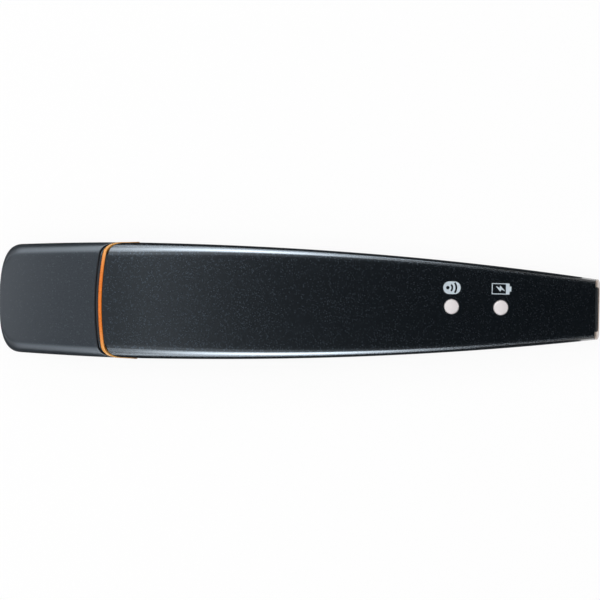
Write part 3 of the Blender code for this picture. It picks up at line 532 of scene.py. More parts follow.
# Casing coat: near-black satin paint with a fine, faint metal grain in it. The edge values are where
# the clear coat on the rounded upper edges fades, by the upward and sideways parts of the direction
casingCoat = {
    "colour": (0.0005, 0.0015, 0.0027),
    "worn": (0.0014, 0.0028, 0.0042),
    "flake": (0.058, 0.065, 0.072),
    "grain": 0.00024,
    "grainSpan": (0.36, 0.68),
    "cloud": 0.012,
    "flakeSize": 0.00021,
    "flakeShare": 0.12,
    "roughness": 0.19,
    "grainRoughness": 0.05,
    "cloudRoughness": 0.02,
    "flakeRoughness": 0.05,
    "relief": 0.0000035,
    "shine": 0.42,
    "edgeFoot": (0.64, 0.82),
    "edgeTop": (0.86, 0.95),
    "edgeSide": (0.25, 0.40),
    "edgeBend": 2.9,
}


def makeCasingCoat():
    material, nodes = finish("casingCoat")
    paint, flakes, sockets = coatLayers(nodes, casingCoat)
    sockets["Base Color"] = nodes.colours(flakes, paint, casingCoat["flake"])
    sockets["Metallic"] = flakes
    sockets["Roughness"] = sockets["Roughness"] + flakes * casingCoat["flakeRoughness"]
    nodes.surface(sockets)
    return material


# Cap coat: the same paint in a lighter, duller soft-touch grade, with painted light that makes it
# lighter towards the cap's end
capCoat = {
    "colour": (0.0145, 0.0185, 0.0235),
    "worn": (0.0245, 0.0295, 0.0355),
    "paintedEndLight": (0.048, 0.054, 0.062),
    "flake": (0.080, 0.092, 0.104),
    "grain": 0.00026,
    "grainSpan": (0.35, 0.70),
    "cloud": 0.010,
    "flakeSize": 0.00022,
    "flakeShare": 0.05,
    "flakeStrength": 0.25,
    "roughness": 0.38,
    "grainRoughness": 0.06,
    "cloudRoughness": 0.03,
    "relief": 0.000005,
    "shine": 0.3,
    "edgeFoot": (0.56, 0.76),
    "edgeTop": (0.86, 0.99),
    "edgeSide": (0.25, 0.40),
    "edgeBend": 2.0,
}


def makeCapCoat():
    material, nodes = finish("capCoat")
    paint, flakes, sockets = coatLayers(nodes, capCoat)
    # painted light: the base colour turns lighter towards the cap's end, as if lit from that side
    fade = 1 - nodes.level(nodes.along(0), capEndX, capEdgeX)
    paint = nodes.colours(fade * fade, paint, capCoat["paintedEndLight"])
    sockets["Base Color"] = nodes.colours(flakes * capCoat["flakeStrength"], paint, capCoat["flake"])
    nodes.surface(sockets)
    return material


# Bezel: warm satin metal, black over the middle of its upper bar, above the port moulding
bezelMetal = {
    "colour": (0.43, 0.35, 0.30),
    "shade": (0.37, 0.30, 0.255),
    "lidColour": (0.010, 0.012, 0.014),
    "lidHalfWidth": 0.0052,
    "lidFoot": 0.0085,
    "grain": 0.0004,
    "roughness": 0.28,
    "grainRoughness": 0.08,
    "lidRoughness": 0.30,
    "relief": 0.000002,
    "shine": 0.15,
}


def makeBezelMetal():
    material, nodes = finish("bezelMetal")
    look = bezelMetal
    grain = nodes.speckle(look["grain"])
    aside = nodes.unsigned(nodes.along(1)) > look["lidHalfWidth"]
    lid = (1 - aside) * (nodes.along(2) > look["lidFoot"])
    metal = nodes.colours(nodes.level(grain, *mottle), look["shade"], look["colour"])
    nodes.surface({
        "Base Color": nodes.colours(lid, metal, look["lidColour"]),
        "Roughness": look["roughness"] + look["grainRoughness"] * grain + look["lidRoughness"] * lid,
        "Metallic": 1 - lid,
        "Specular IOR Level": look["shine"],
        "Normal": nodes.bumps(grain, look["relief"]),
    })
    return material


# Ring: glossy orange, with a painted highlight that makes it lighter and yellower towards the sides
ringOrange = {
    "colour": (0.74, 0.170, 0.002),
    "shade": (0.68, 0.155, 0.002),
    "paintedHighlightColour": (0.84, 0.42, 0.11),
    "paintedHighlightFrom": 0.004,
    "paintedHighlightTo": 0.0128,
    "grain": 0.0004,
    "roughness": 0.24,
    "grainRoughness": 0.08,
    "relief": 0.000003,
    "metallic": 0.05,
    "shine": 0.4,
}


def makeRingOrange():
    material, nodes = finish("orangeGloss")
    look = ringOrange
    grain = nodes.speckle(look["grain"])
    # painted highlight: the colour turns lighter and yellower across the pen towards the ring's sides,
    # where its corners catch the light
    side = nodes.level(nodes.unsigned(nodes.along(1)), look["paintedHighlightFrom"], look["paintedHighlightTo"])
    orange = nodes.colours(nodes.level(grain, *mottle), look["shade"], look["colour"])
    nodes.surface({
        "Base Color": nodes.colours(side * side, orange, look["paintedHighlightColour"]),
        "Roughness": look["roughness"] + look["grainRoughness"] * grain,
        "Metallic": look["metallic"],
        "Specular IOR Level": look["shine"],
        "Normal": nodes.bumps(grain, look["relief"]),
    })
    return material


usualLook = {
    "grain": 0.0004,
    "cloud": 0.006,
    "shade": 0.82,
    "grainRoughness": 0.08,
    "metallic": 0.0,
    "relief": 0.000006,
}
extraSockets = {"shine": "Specular IOR Level", "clear": "Transmission Weight", "bend": "IOR"}


def plainFinish(name, look):
    # moulded or metal surfaces: a slight change of shade, a fine grain and uneven gloss
    material, nodes = finish(name)
    look = {**usualLook, **look}
    grain = nodes.speckle(look["grain"])
    cloud = nodes.speckle(look["cloud"], 1.0)
    shade = tuple(channel * look["shade"] for channel in look["colour"])
    mixed = nodes.level(grain * 0.5 + cloud * 0.5, *mottle)
    sockets = {
        "Base Color": nodes.colours(mixed, shade, look["colour"]),
        "Roughness": look["roughness"] + look["grainRoughness"] * grain,
        "Metallic": look["metallic"],
        "Normal": nodes.bumps(grain, look["relief"]),
    }
    for key, socket in extraSockets.items():
        if key in look:
            sockets[socket] = look[key]
    nodes.surface(sockets)
    return material


looks = {
    "headGloss": {"colour": (0.010, 0.010, 0.011), "roughness": 0.12, "relief": 0.000002},
    "lightWhite": {"colour": (0.76, 0.715, 0.715), "roughness": 0.30, "shade": 0.95, "relief": 0.000002},
    "markPrint": {"colour": (0.54, 0.615, 0.67), "roughness": 0.55, "shade": 0.9, "relief": 0.000004},
    "mattBlack": {"colour": (0.010, 0.010, 0.011), "roughness": 0.60, "relief": 0.00001},
    "portBlack": {"colour": (0.011, 0.012, 0.013), "roughness": 0.85, "shine": 0.06, "relief": 0.00001},
    "plainSteel": {"colour": (0.56, 0.57, 0.58), "roughness": 0.28, "metallic": 1.0, "relief": 0.000002},
    "springWire": {"colour": (0.42, 0.43, 0.45), "roughness": 0.24, "metallic": 1.0, "relief": 0.000001},
    "boardGreen": {"colour": (0.020, 0.115, 0.045), "roughness": 0.40, "shade": 0.6, "cloud": 0.0016},
    "chipBlack": {"colour": (0.016, 0.016, 0.018), "roughness": 0.50},
    "windowClear": {
        "colour": (0.86, 0.89, 0.91),
        "roughness": 0.05,
        "clear": 0.9,
        "bend": 1.49,
        "relief": 0.0,
    },
    "pouchSilver": {
        "colour": (0.58, 0.59, 0.60),
        "roughness": 0.36,
        "metallic": 0.8,
        "grain": 0.0012,
        "relief": 0.00004,
    },
    "padFoam": {"colour": (0.050, 0.050, 0.055), "roughness": 0.92, "shade": 0.5, "relief": 0.00005},
    "rollerRubber": {"colour": (0.028, 0.028, 0.029), "roughness": 0.80, "relief": 0.00002},
    "redLead": {"colour": (0.45, 0.022, 0.020), "roughness": 0.45, "relief": 0.000004},
    "amberFilm": {"colour": (0.55, 0.22, 0.05), "roughness": 0.34, "relief": 0.000003},
}
finishes = {name: plainFinish(name, look) for name, look in looks.items()}
finishes["bezelMetal"] = makeBezelMetal()
finishes["orangeGloss"] = makeRingOrange()
finishes["casingCoat"] = makeCasingCoat()
finishes["capCoat"] = makeCapCoat()
print("finishes made:", len(finishes))


def dress(piece, finishName, body, *replaced):
    piece.data.materials.clear()
    piece.data.materials.append(finishes[finishName])
    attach(piece, body)
    if replaced:
        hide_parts(*replaced)


# Cap
cap = {
    "edgeRound": 0.00022,
    "edgeStay": 0.0001,
    "stations": 34,
    "domeStations": 22,
    "endStations": 5,
}


def capLoops(firstX, inset, count):
    loops = []
    for step in range(1, count):
        x = between(firstX, capEndX + dome["length"], step / count)
        loops.append(penLoop(x, inset, max(1 - (firstX - x) / joint["capFade"], 0)))
    return loops


def makeCap():
    loops = [penLoop(capEdgeX - cap["edgeRound"] - cap["edgeStay"], 0.0, 1.0)]
    for back, inset in rim(cap["edgeRound"]):
        loops.append(penLoop(capEdgeX - back, inset, 1.0))
    loops.reverse()
    loops += capLoops(capEdgeX, 0.0, cap["stations"])
    for step in range(cap["domeStations"] + 1):
        angle = math.pi / 2 * step / cap["domeStations"]
        loops.append(penLoop(capEndX + dome["length"] * (1 - math.sin(angle))))
    loops.reverse()
    loops.append(penLoop(capEdgeX, joint["capWall"], 1.0))
    loops += capLoops(capEdgeX, joint["capWall"], cap["stations"])
    for step in range(cap["endStations"] + 1):
        reach = between(dome["length"], dome["endWall"], step / cap["endStations"])
        loops.append(penLoop(capEndX + reach, joint["capWall"]))
    piece = skin("cap_skin", loops, firstCap=True, lastCap=True)
    dress(piece, "capCoat", "cap", "cap")


makeCap()
print("cap done")

# Orange ring
ring = {"edgeRound": 0.00018, "stations": 3}


def makeRing():
    rearX = mouthX + joint["ringWidth"]
    loops = []
    for back, inset in reversed(rim(ring["edgeRound"])):
        loops.append(penLoop(mouthX + back, inset, 1.0, proud=joint["ringProud"]))
    for step in range(1, ring["stations"]):
        x = between(mouthX + ring["edgeRound"], rearX - ring["edgeRound"], step / ring["stations"])
        loops.append(penLoop(x, 0.0, 1.0, proud=joint["ringProud"]))
    for back, inset in rim(ring["edgeRound"]):
        loops.append(penLoop(rearX - back, inset, 1.0, proud=joint["ringProud"]))
    loops.append(penLoop(rearX, joint["wall"], 1.0))
    loops.append(penLoop(mouthX, joint["wall"], 1.0))
    piece = skin("ring_band", loops, roundAgain=True)
    dress(piece, "orangeGloss", "pen", "accent_ring")


makeRing()
print("ring done")

# Head moulding: barrel, lip, spigot and slanted nose
head = {
    "wall": 0.0012,
    "barrelEndPlace": 0.0365,
    "spigotLength": 0.0095,
    "shoulder": 0.0008,
    "rootWidth": 0.0206,
    "rootHeight": 0.0126,
    "tipWidth": 0.0190,
    "tipHeight": 0.0115,
    "edgeRadius": 0.0024,
    "tipPlace": 0.0052,
    "slant": 0.0022,
    "windowWidth": 0.0150,
    "windowHeight": 0.0034,
    "windowRise": 0.0023,
    "slotWidth": 0.0156,
    "slotHeight": 0.0044,
    "slotDrop": 0.0023,
    "cutDepth": 0.0064,
}
axisZ = pen["headHeight"] / 2
tipX = capEndX + head["tipPlace"]
spigotX = mouthX - head["spigotLength"]
rootX = spigotX - head["shoulder"]
tipSlope = 2 * head["slant"] / head["tipHeight"]


def noseLoop(x, inset=0.0, slantShare=0.0):
    share = (rootX - x) / (rootX - tipX)
    halfWidth = between(head["rootWidth"], head["tipWidth"], share) / 2
    rise = between(head["rootHeight"], head["tipHeight"], share) / 2
    section = Section(halfWidth, axisZ + rise, axisZ - rise, head["edgeRadius"], 0.0, 0.0)
    return [Vector((x - (z - axisZ) * tipSlope * slantShare, y, z)) for y, z in section.loop(inset)]


def makeHead():
    lipRearX = mouthX - joint["closeFit"]
    lipFrontX = lipRearX - joint["lipThickness"]
    barrelX = capEndX + head["barrelEndPlace"]
    barrelInset = joint["wall"] + joint["fit"]
    spigotInset = joint["capWall"] + joint["fit"]
    innerInset = spigotInset + head["wall"]
    loops = [
        penLoop(barrelX, barrelInset),
        penLoop(lipRearX, barrelInset, 1.0),
        penLoop(lipRearX, joint["wall"], 1.0),
        penLoop(lipRearX, joint["lipInset"], 1.0),
        penLoop(lipFrontX, joint["lipInset"], 1.0),
        penLoop(lipFrontX, joint["capWall"], 1.0),
        penLoop(lipFrontX, spigotInset, 1.0),
        penLoop(spigotX, spigotInset),
        noseLoop(rootX),
    ]
    for back, inset in rim(head["wall"] / 2):
        loops.append(noseLoop(tipX + back, inset, 1.0))
    loops.reverse()
    loops += [
        penLoop(barrelX, innerInset),
        penLoop(spigotX + head["wall"], innerInset),
        noseLoop(rootX + head["wall"], head["wall"]),
        noseLoop(tipX + head["wall"], head["wall"], 1.0),
    ]
    piece = skin("head_moulding", loops, firstCap=True, lastCap=True)
    slope = math.atan(tipSlope)
    cuts = []
    for name, width, height, rise, tilt in (
        ("windowCut", head["windowWidth"], head["windowHeight"], head["windowRise"], -slope),
        ("slotCut", head["slotWidth"], head["slotHeight"], -head["slotDrop"], 0.0),
    ):
        place = (tipX - rise * tipSlope, 0, axisZ + rise)
        cuts.append(block(name, (head["cutDepth"], width, height), place, tilt))
    combine(piece, [], cuts)
    dress(piece, "headGloss", "pen", "nose_housing")


makeHead()
print("head moulding done")

# Casing halves
casing = {
    "stations": 64,
    "frontRound": 0.00018,
    "frontStay": 0.0001,
    "seamRound": 0.00010,
    "bezelThickness": 0.0005,
    "screwRecess": 0.0015,
    "counterbore": 0.0021,
    "pilot": 0.0011,
    "bossRadius": 0.0027,
    "footRadius": 0.0030,
    "neckRadius": 0.0021,
    "postRadius": 0.0022,
    "bite": 0.0038,
    "weld": 0.0006,
    "overrun": 0.0020,
    "ribWidth": 0.0120,
    "ribThickness": 0.0012,
    "ribPlace": 0.0490,
    "innerBorder": 0.05,
}
casingRearX = tailX - casing["bezelThickness"] - joint["closeFit"]


def drawBorders(row, distance):
    # both borders of a row move in along the skin, by this much of height
    for edge, beside in ((0, 1), (-1, -2)):
        along = (row[beside] - row[edge]) / abs((row[beside] - row[edge]).z)
        row[edge] = row[edge] + along * distance


def casingRows(first, last, inset, rounded):
    starts = []
    for back, deep in reversed(rim(casing["frontRound"])):
        starts.append((casingFrontX + back, inset + deep if rounded else inset))
    starts.append((casingFrontX + casing["frontRound"] + casing["frontStay"], inset))
    for step in range(1, casing["stations"] + 1):
        x = between(casingFrontX + casing["frontRound"], casingRearX, step / casing["stations"])
        starts.append((x, inset))
    rows = []
    for x, deep in starts:
        loop = casingLoop(x, deep)
        row = [loop[place % len(loop)] for place in range(first, last + 1)]
        drawBorders(row, joint["seam"] / 2)
        borders = row[0].copy(), row[-1].copy()
        if rounded:
            drawBorders(row, casing["seamRound"])
            for border in borders:
                border.y -= math.copysign(casing["seamRound"], border.y)
        else:
            row[0] = row[0].lerp(row[1], casing["innerBorder"])
            row[-1] = row[-1].lerp(row[-2], casing["innerBorder"])
        rows.append([borders[0]] + row + [borders[1]])
    return rows


def casingHalf(name, first, last):
    outer = casingRows(first, last, 0.0, True)
    inner = casingRows(first, last, joint["wall"], False)
    return shellOf(name, outer, inner)


def screwPlaces():
    # from the screws' own solids: name, x, y, and whether it stands under the main board
    places = []
    for name in ("screw_front_left", "screw_front_right", "screw_middle", "screw_rear"):
        low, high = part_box(name)
        places.append((name, (low.x + high.x) / 2, (low.y + high.y) / 2, "front" not in name))
    return places


def makeBottom():
    piece = casingHalf("casing_bottom", upperCount - 1, len(mouthSweeps))
    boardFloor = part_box("main_board")[0].z
    joins = []
    cuts = []
    for name, x, y, underBoard in screwPlaces():
        section = penSection(x)
        root = section.bottom + joint["wall"] - casing["weld"]
        if underBoard:
            foot = boardFloor - joint["fit"]
            joins.append(rod(name + "Foot", casing["footRadius"], root, foot, x, y))
            joins.append(rod(name + "Neck", casing["neckRadius"], root, section.middle, x, y))
        else:
            joins.append(rod(name + "Boss", casing["bossRadius"], root, section.middle, x, y))
        seat = section.bottom + casing["screwRecess"]
        low = section.bottom - casing["overrun"]
        cuts.append(rod(name + "Sink", casing["counterbore"], low, seat, x, y))
        top = section.middle + casing["overrun"]
        cuts.append(rod(name + "Hole", casing["pilot"], section.bottom, top, x, y))
    ribX = capEndX + casing["ribPlace"]
    ribLow = penSection(ribX).bottom + joint["wall"] - casing["weld"]
    ribHigh = boardFloor - joint["fit"]
    size = (casing["ribThickness"], casing["ribWidth"], ribHigh - ribLow)
    joins.append(block("rib", size, (ribX, 0, (ribLow + ribHigh) / 2)))
    combine(piece, joins, cuts)
    dress(piece, "casingCoat", "pen", "bottom_shell")


lights = {
    "radius": 0.0017,
    "holeRadius": 0.00185,
    "dome": 0.00012,
    "edgeRound": 0.00014,
    "domeSteps": 8,
    "roundSteps": 5,
    "flangeRadius": 0.0024,
    "flangeTop": 0.00155,
    "flangeFoot": 0.00225,
    "pipeRadius": 0.0013,
    "places": {"radio_light_lens": 0.1051, "charge_light_lens": 0.1166},
}


def topSlope(x):
    reach = lights["radius"]
    return math.atan2(penSection(x - reach).top - penSection(x + reach).top, 2 * reach)


def makeTop():
    piece = casingHalf("casing_top", 0, upperCount - 1)
    joins = []
    cuts = []
    for name, x, y, underBoard in screwPlaces():
        middle = penSection(x).middle
        section = penSection(x + casing["postRadius"])
        ceiling = section.top - section.crown - joint["wall"] + casing["weld"]
        foot = middle + joint["fit"]
        joins.append(rod(name + "Post", casing["postRadius"], foot, ceiling, x, y))
        cuts.append(rod(name + "Pilot", casing["pilot"], middle, middle + casing["bite"], x, y))
    for name, place in lights["places"].items():
        x = capEndX + place
        deep = joint["wall"] + casing["overrun"]
        profile = [(0, deep), (lights["holeRadius"], deep), (lights["holeRadius"], -deep), (0, -deep)]
        cuts.append(turned(name + "Hole", profile, (x, 0, penSection(x).top), tilt=topSlope(x)))
    combine(piece, joins, cuts)
    dress(piece, "casingCoat", "pen", "top_shell")


def makeLenses():
    for name, place in lights["places"].items():
        x = capEndX + place
        slope = topSlope(x)
        low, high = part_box(name)
        length = (penSection(x).top - low.z) / math.cos(slope) - lights["pipeRadius"] * math.sin(slope)
        crownRadius = lights["radius"] - lights["edgeRound"]
        profile = []
        for step in range(lights["domeSteps"] + 1):
            share = step / lights["domeSteps"]
            profile.append((crownRadius * share, lights["dome"] * (1 - share**2)))
        for step in range(1, lights["roundSteps"] + 1):
            angle = math.pi / 2 * step / lights["roundSteps"]
            reach = crownRadius + lights["edgeRound"] * math.sin(angle)
            profile.append((reach, -lights["edgeRound"] * (1 - math.cos(angle))))
        profile += [
            (lights["radius"], -lights["flangeTop"]),
            (lights["flangeRadius"], -lights["flangeTop"]),
            (lights["flangeRadius"], -lights["flangeFoot"]),
            (lights["pipeRadius"], -lights["flangeFoot"]),
            (lights["pipeRadius"], -length),
            (0, -length),
        ]
        piece = turned(name.replace("_lens", "_button"), profile, (x, 0, penSection(x).top), tilt=slope)
        dress(piece, "lightWhite", "pen", name)


makeBottom()
print("casing bottom done")
makeTop()
print("casing top done")
makeLenses()
print("lights done")

# Tail end: metal frame round the dark port moulding
tail = {
    "chamfer": 0.0002,
    "recessWidth": 0.0103,
    "recessHeight": 0.0060,
    "recessRadius": 0.0010,
    "recessRound": 0.00018,
}


def recessLoop(x, inset=0.0):
    # the frame's opening, leaning with the tail
    end = penSection(tailX)
    lean = pen["tailLean"] / (2 * end.rise)
    halfWidth = tail["recessWidth"] / 2 + inset
    rise = tail["recessHeight"] / 2 + inset
    section = Section(halfWidth, end.middle + rise, end.middle - rise, tail["recessRadius"], 0.0, 0.0)
    return [Vector((x - lean * (z - end.bottom), y, z)) for y, z in section.loop()]


def makeBezel():
    frontX = tailX - casing["bezelThickness"]
    loops = [recessLoop(tailX - back, inset) for back, inset in rim(tail["recessRound"])]
    for back, inset in reversed(rim(tail["chamfer"])):
        loops.append(penLoop(tailX - back, inset, leanShare=1))
    loops.append(penLoop(frontX, 0.0, leanShare=1))
    loops.append(recessLoop(frontX))
    piece = skin("tail_frame", loops, roundAgain=True)
    dress(piece, "bezelMetal", "pen", "rear_bezel")


makeBezel()
print("tail frame done")

# Printed marks beside the lights
marks = {
    "lift": 0.00002,
    "grid": 0.0004,
    "gridLines": 7,
    "weld": 0.000001,
    "cornerSteps": 10,
    "dotSteps": 15,
    "waveSteps": 12,
    "radioPlace": (0.0351, 0.00440),
    "batteryPlace": (0.0466, 0.00436),
    "pillSize": (0.00405, 0.00294),
    "pillRound": 0.00142,
    "dotPlace": (-0.00096, 0.0),
    "dotRadius": 0.00042,
    "waves": ((0.00084, 0.00126, 46), (0.00176, 0.00220, 36)),
    "case": (-0.00222, 0.00193, 0.00128),
    "window": (-0.00202, 0.00110, 0.00110),
    "nub": (0.00193, 0.00235, 0.00059),
    "bolt": (
        (-0.00134, 0.00070),
        (-0.00022, -0.00066),
        (0.00002, -0.00014),
        (0.00094, -0.00052),
        (-0.00026, 0.00080),
        (-0.00040, 0.00024),
    ),
}


def arcPoints(centre, radius, first, last, steps):
    points = []
    for step in range(steps + 1):
        angle = math.radians(between(first, last, step / steps))
        points.append((centre[0] + radius * math.cos(angle), centre[1] + radius * math.sin(angle)))
    return points


def roundedPlate(size, radius):
    halfX, halfY = size[0] / 2 - radius, size[1] / 2 - radius
    points = []
    for quarter, (toX, toY) in enumerate(((1, 1), (-1, 1), (-1, -1), (1, -1))):
        first = 90 * quarter
        points += arcPoints((halfX * toX, halfY * toY), radius, first, first + 90, marks["cornerSteps"])
    return points


def plate(first, last, rise):
    return [(first, -rise), (last, -rise), (last, rise), (first, rise)]


def printed(name, outlines, place):
    # outlines filled flat, cut into a fine grid and laid on the top face
    curve = bpy.data.curves.new(name, "CURVE")
    curve.dimensions = "2D"
    curve.fill_mode = "BOTH"
    for outline in outlines:
        line = curve.splines.new("POLY")
        line.points.add(len(outline) - 1)
        for point, (x, y) in zip(line.points, outline):
            point.co = (x, y, 0, 1)
        line.use_cyclic_u = True
    flat = link(name + "Flat", curve)
    bpy.context.view_layer.update()
    mesh = bpy.data.meshes.new_from_object(flat.evaluated_get(bpy.context.evaluated_depsgraph_get()))
    bpy.data.objects.remove(flat, do_unlink=True)
    shape = bmesh.new()
    shape.from_mesh(mesh)
    bmesh.ops.remove_doubles(shape, verts=shape.verts, dist=marks["weld"])
    for axis in (Vector((1, 0, 0)), Vector((0, 1, 0))):
        for step in range(-marks["gridLines"], marks["gridLines"] + 1):
            everything = list(shape.verts) + list(shape.edges) + list(shape.faces)
            cut = axis * marks["grid"] * step
            bmesh.ops.bisect_plane(shape, geom=everything, plane_co=cut, plane_no=axis)
    for vert in shape.verts:
        x, y = vert.co.x + place[0], vert.co.y + place[1]
        vert.co = (x, y, penSection(x).topAt(y) + marks["lift"])
    for face in shape.faces:
        face.normal_update()
        if face.normal.z < 0:
            face.normal_flip()
    laid = bpy.data.meshes.new(name)
    shape.to_mesh(laid)
    shape.free()
    laid.shade_smooth()
    dress(link(name, laid), "markPrint", "pen")


def makeMarks():
    outlines = [roundedPlate(marks["pillSize"], marks["pillRound"])]
    steps = marks["dotSteps"]
    lastAngle = 360 * steps / (steps + 1)
    outlines.append(arcPoints(marks["dotPlace"], marks["dotRadius"], 0, lastAngle, steps))
    for inner, outer, spread in marks["waves"]:
        near = arcPoints(marks["dotPlace"], inner, -spread, spread, marks["waveSteps"])
        far = arcPoints(marks["dotPlace"], outer, spread, -spread, marks["waveSteps"])
        outlines.append(near + far)
    printed("radio_mark", outlines, marks["radioPlace"])
    outlines = [plate(*marks["case"]), plate(*marks["window"]), list(marks["bolt"])]
    printed("battery_mark", outlines, marks["batteryPlace"])
    printed("battery_mark_nub", [plate(*marks["nub"])], marks["batteryPlace"])


makeMarks()
print("marks done")


def makeSprings():
    for name in ("trigger_spring_left", "trigger_spring_right"):
        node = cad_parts[name]
        mesh = node.data.copy()
        mesh.transform(node.matrix_world)
        piece = link(name.replace("spring", "coil"), mesh)
        dress(piece, "springWire", "pen", name)
        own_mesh(piece)


makeSprings()
print("springs done")

# The solids that stay as they are take their finish
nodeFinishes = {
    "lightWhite": ("radio_light", "charge_light", "lamp_left", "lamp_right", "battery_plug"),
    "plainSteel": (
        "screw_front_left",
        "screw_front_right",
        "screw_middle",
        "screw_rear",
        "roller_axle",
        "encoder_disc",
        "radio_module",
        "charging_socket",
    ),
    "mattBlack": ("trigger_carriage", "lens_holder", "flex_socket", "socket_tongue"),
    "chipBlack": ("encoder_sensor", "image_sensor", "trigger_switch", "processor", "memory_chip"),
    "boardGreen": ("head_board", "main_board"),
    "rollerRubber": ("tracking_roller", "battery_lead_negative"),
    "headGloss": ("scan_lens",),
    "windowClear": ("scan_window",),
    "padFoam": ("battery_pad",),
    "pouchSilver": ("battery",),
    "redLead": ("battery_lead_positive",),
    "amberFilm": ("head_flex",),
    "portBlack": ("port_insert",),
}
for finishName, names in nodeFinishes.items():
    for name in names:
        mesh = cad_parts[name].data
        mesh.materials.clear()
        mesh.materials.append(finishes[finishName])
print("solids dressed")

# Floor, light and camera
studio = {
    "floorSize": 6.0,
    "floorDrop": 0.0002,
    "floorColour": (0.90, 0.90, 0.90),
    "floorBounce": (0.20, 0.20, 0.20),
    "floorShare": 0.08,
    "ambient": 0.20,
    "cameraHeight": 1.8,
    "cameraAim": (-0.000185, 0.000835, 0.009),
    "cameraRoll": 1.15,
    "cameraSight": 20.0,
    "frameWidth": 0.13991,
    "sensor": 36.0,
}


def aimed(thing, place, target):
    thing.location = place
    thing.rotation_euler = (Vector(target) - Vector(place)).to_track_quat("-Z", "Y").to_euler()


def softbox(name, place, width, height, glow):
    # lights the surfaces; its reflection is left to the tent
    lamp = bpy.data.lights.new(name, "AREA")
    lamp.shape = "RECTANGLE"
    lamp.size = width
    lamp.size_y = height
    lamp.energy = glow * math.pi * width * height
    thing = link(name, lamp)
    aimed(thing, place, (0, 0, axisZ))
    thing.visible_glossy = False


def makeFloor():
    shape = bmesh.new()
    half = studio["floorSize"] / 2
    ground = -studio["floorDrop"]
    corners = []
    for x, y in ((-1, -1), (1, -1), (1, 1), (-1, 1)):
        corners.append(shape.verts.new((x * half, y * half, ground)))
    shape.faces.new(corners)
    floor = keepMesh("floor", shape)
    material, nodes = finish("floorPaper")
    paper = nodes.add("BsdfDiffuse", {}, {"Color": studio["floorColour"]})
    bright = nodes.add("Emission", {}, {"Color": (1.0, 1.0, 1.0), "Strength": 1.0})
    white = nodes.add("MixShader", {}, {0: 1 - studio["floorShare"], 1: paper, 2: bright})
    bounce = nodes.add("BsdfDiffuse", {}, {"Color": studio["floorBounce"]})
    mixed = nodes.add("MixShader", {}, {0: nodes.seenWhite(), 1: bounce, 2: white})
    # clear from below, so that the underside shows
    below = nodes.add("NewGeometry", {}, {}, "Backfacing")
    oneSided = nodes.add("MixShader", {}, {0: below, 1: mixed, 2: nodes.add("BsdfTransparent", {}, {})})
    nodes.add("OutputMaterial", {}, {"Surface": oneSided})
    floor.data.materials.append(material)


def makeSky():
    world = bpy.data.worlds.new("studioSky")
    scene.world = world
    world.use_nodes = True
    nodes = Nodes(world.node_tree)
    strength = studio["ambient"] + nodes.seenWhite() * (1 - studio["ambient"])
    sky = nodes.add("Background", {}, {"Color": (1.0, 1.0, 1.0), "Strength": strength})
    nodes.add("OutputWorld", {}, {"Surface": sky})


# A tent of cloth round the pen that only gloss sees. Angles are degrees from overhead towards +Y,
# glow is at the brightest, and the fades are places along the pen with their shares of the glow
tent = {
    "radius": 0.9,
    "reach": (-1.6, 0.5),
    "tint": (0.88, 1.0, 1.12),
    "overhead": {
        "angles": (-16, 16),
        "glow": 4.2,
        "fade": (
            (-0.60, 0.15), (-0.30, 0.16), (-0.12, 0.18), (-0.068, 0.29), (-0.052, 0.32),
            (-0.02, 0.40), (0.0, 0.60), (0.012, 0.72), (0.024, 0.26), (0.032, 0.02),
            (0.12, 0.04), (0.16, 0.012), (0.20, 0.0),
        ),
    },
    "leftShoulder": {
        "angles": (16, 50),
        "glow": 8.0,
        "fade": (
            (-0.36, 0.0), (-0.20, 0.26), (-0.08, 0.56), (-0.05, 0.54), (-0.04, 0.44),
            (0.02, 0.46), (0.10, 0.25), (0.16, 0.0),
        ),
    },
    "rightShoulder": {
        "angles": (-50, -16),
        "glow": 8.0,
        "fade": (
            (-0.36, 0.0), (-0.20, 0.12), (-0.08, 0.28), (-0.05, 0.30), (-0.04, 0.26),
            (0.02, 0.38), (0.10, 0.38), (0.16, 0.1), (0.2, 0.0),
        ),
    },
    "leftBank": {
        "angles": (50, 88),
        "glow": 6.8,
        "fade": (
            (-0.30, 0.0), (-0.16, 0.19), (-0.05, 0.23), (-0.02, 0.50), (0.03, 0.72),
            (0.06, 0.92), (0.095, 1.0), (0.115, 0.25), (0.15, 0.0),
        ),
    },
    "rightBank": {
        "angles": (-88, -50),
        "glow": 6.8,
        "fade": (
            (-0.26, 0.0), (-0.16, 0.05), (-0.10, 0.05), (-0.05, 0.07), (-0.035, 0.16),
            (0.0, 0.34), (0.04, 0.85), (0.12, 1.0), (0.15, 0.6), (0.20, 0.0),
        ),
    },
    "capEnd": {"angles": (56, 84), "glow": 2.5, "halfWidth": 0.30},
    "groundDark": {"along": (-0.4, 0.066), "across": (0.0068, 0.5), "height": 0.0006, "glow": 0.05},
    "groundGlow": {"along": (-0.05, 0.05), "across": (0.05, 0.5), "height": 0.0009, "glow": 6.0},
}


def glowing(name, tint, glow, fade=None):
    # a cloth that only reflections show, fading along the pen
    material, nodes = finish(name)
    colour = tint
    if fade:
        low, high = fade[0][0], fade[-1][0]
        stops = []
        for x, share in fade:
            stops.append(((x - low) / (high - low), tuple(share * channel for channel in tint)))
        colour = nodes.add("ValToRGB", {"stops": stops}, {0: nodes.level(nodes.along(0), low, high)})
    light = nodes.add("Emission", {}, {"Color": colour, "Strength": glow})
    nodes.add("OutputMaterial", {}, {"Surface": light})
    return material


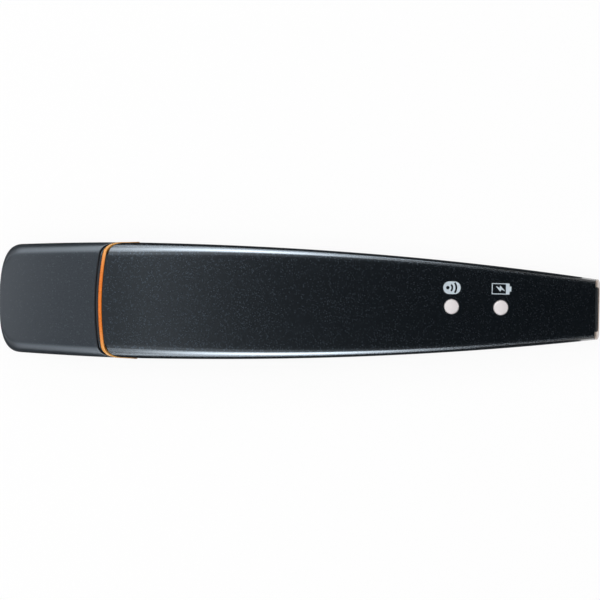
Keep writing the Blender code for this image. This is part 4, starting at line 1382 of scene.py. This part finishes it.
def hang(name, rows, material):
    shape = bmesh.new()
    points = pointRows(shape, rows)
    for near, far in zip(points, points[1:]):
        strip(shape, near, far)
    piece = keepMesh(name, shape)
    piece.data.materials.append(material)
    for flag in ("camera", "diffuse", "transmission", "volume_scatter", "shadow"):
        setattr(piece, "visible_" + flag, False)


def arcRow(angles, steps=12):
    rows = []
    for step in range(steps + 1):
        angle = math.radians(between(*angles, step / steps))
        rows.append((tent["radius"] * math.sin(angle), tent["radius"] * math.cos(angle)))
    return rows


def makeTent():
    for name in ("overhead", "leftShoulder", "rightShoulder", "leftBank", "rightBank"):
        cloth = tent[name]
        rows = [[(x, y, z) for x in tent["reach"]] for y, z in arcRow(cloth["angles"])]
        hang(name, rows, glowing(name, tent["tint"], cloth["glow"], cloth["fade"]))
    cloth = tent["capEnd"]
    half = cloth["halfWidth"]
    rows = [[(-x, y, z) for y in (-half, half)] for x, z in arcRow(cloth["angles"])]
    hang("capEnd", rows, glowing("capEnd", tent["tint"], cloth["glow"]))
    for name in ("groundDark", "groundGlow"):
        cloth = tent[name]
        for side in (1, -1):
            rows = [[(x, side * y, cloth["height"]) for y in cloth["across"]] for x in cloth["along"]]
            hang(name, rows, glowing(name, tent["tint"], cloth["glow"]))


# Lamps: place, width, height and glow
lamps = {
    "top": ((-0.1, 0.0, 1.5), 0.9, 0.9, 4.0),
    "capSide": ((-0.75, 0.05, 0.6), 0.5, 0.5, 5.0),
    "left": ((-0.05, 0.50, 0.75), 0.5, 0.3, 2.2),
    "right": ((-0.05, -0.50, 0.75), 0.5, 0.3, 1.2),
}


def makeLight():
    for name, lamp in lamps.items():
        softbox(name, *lamp)


def makeCamera():
    lens = bpy.data.cameras.new("camera")
    lens.sensor_width = studio["sensor"]
    lens.clip_end = studio["cameraSight"]
    aimX, aimY, aimZ = studio["cameraAim"]
    lens.lens = studio["sensor"] * (studio["cameraHeight"] - aimZ) / studio["frameWidth"]
    camera = link("camera", lens)
    camera.location = (aimX, aimY, studio["cameraHeight"])
    camera.rotation_euler = (0, 0, math.radians(studio["cameraRoll"]))
    scene.camera = camera


makeFloor()
makeSky()
makeTent()
makeLight()
makeCamera()
scene.view_settings.view_transform = "Standard"
print("studio done")
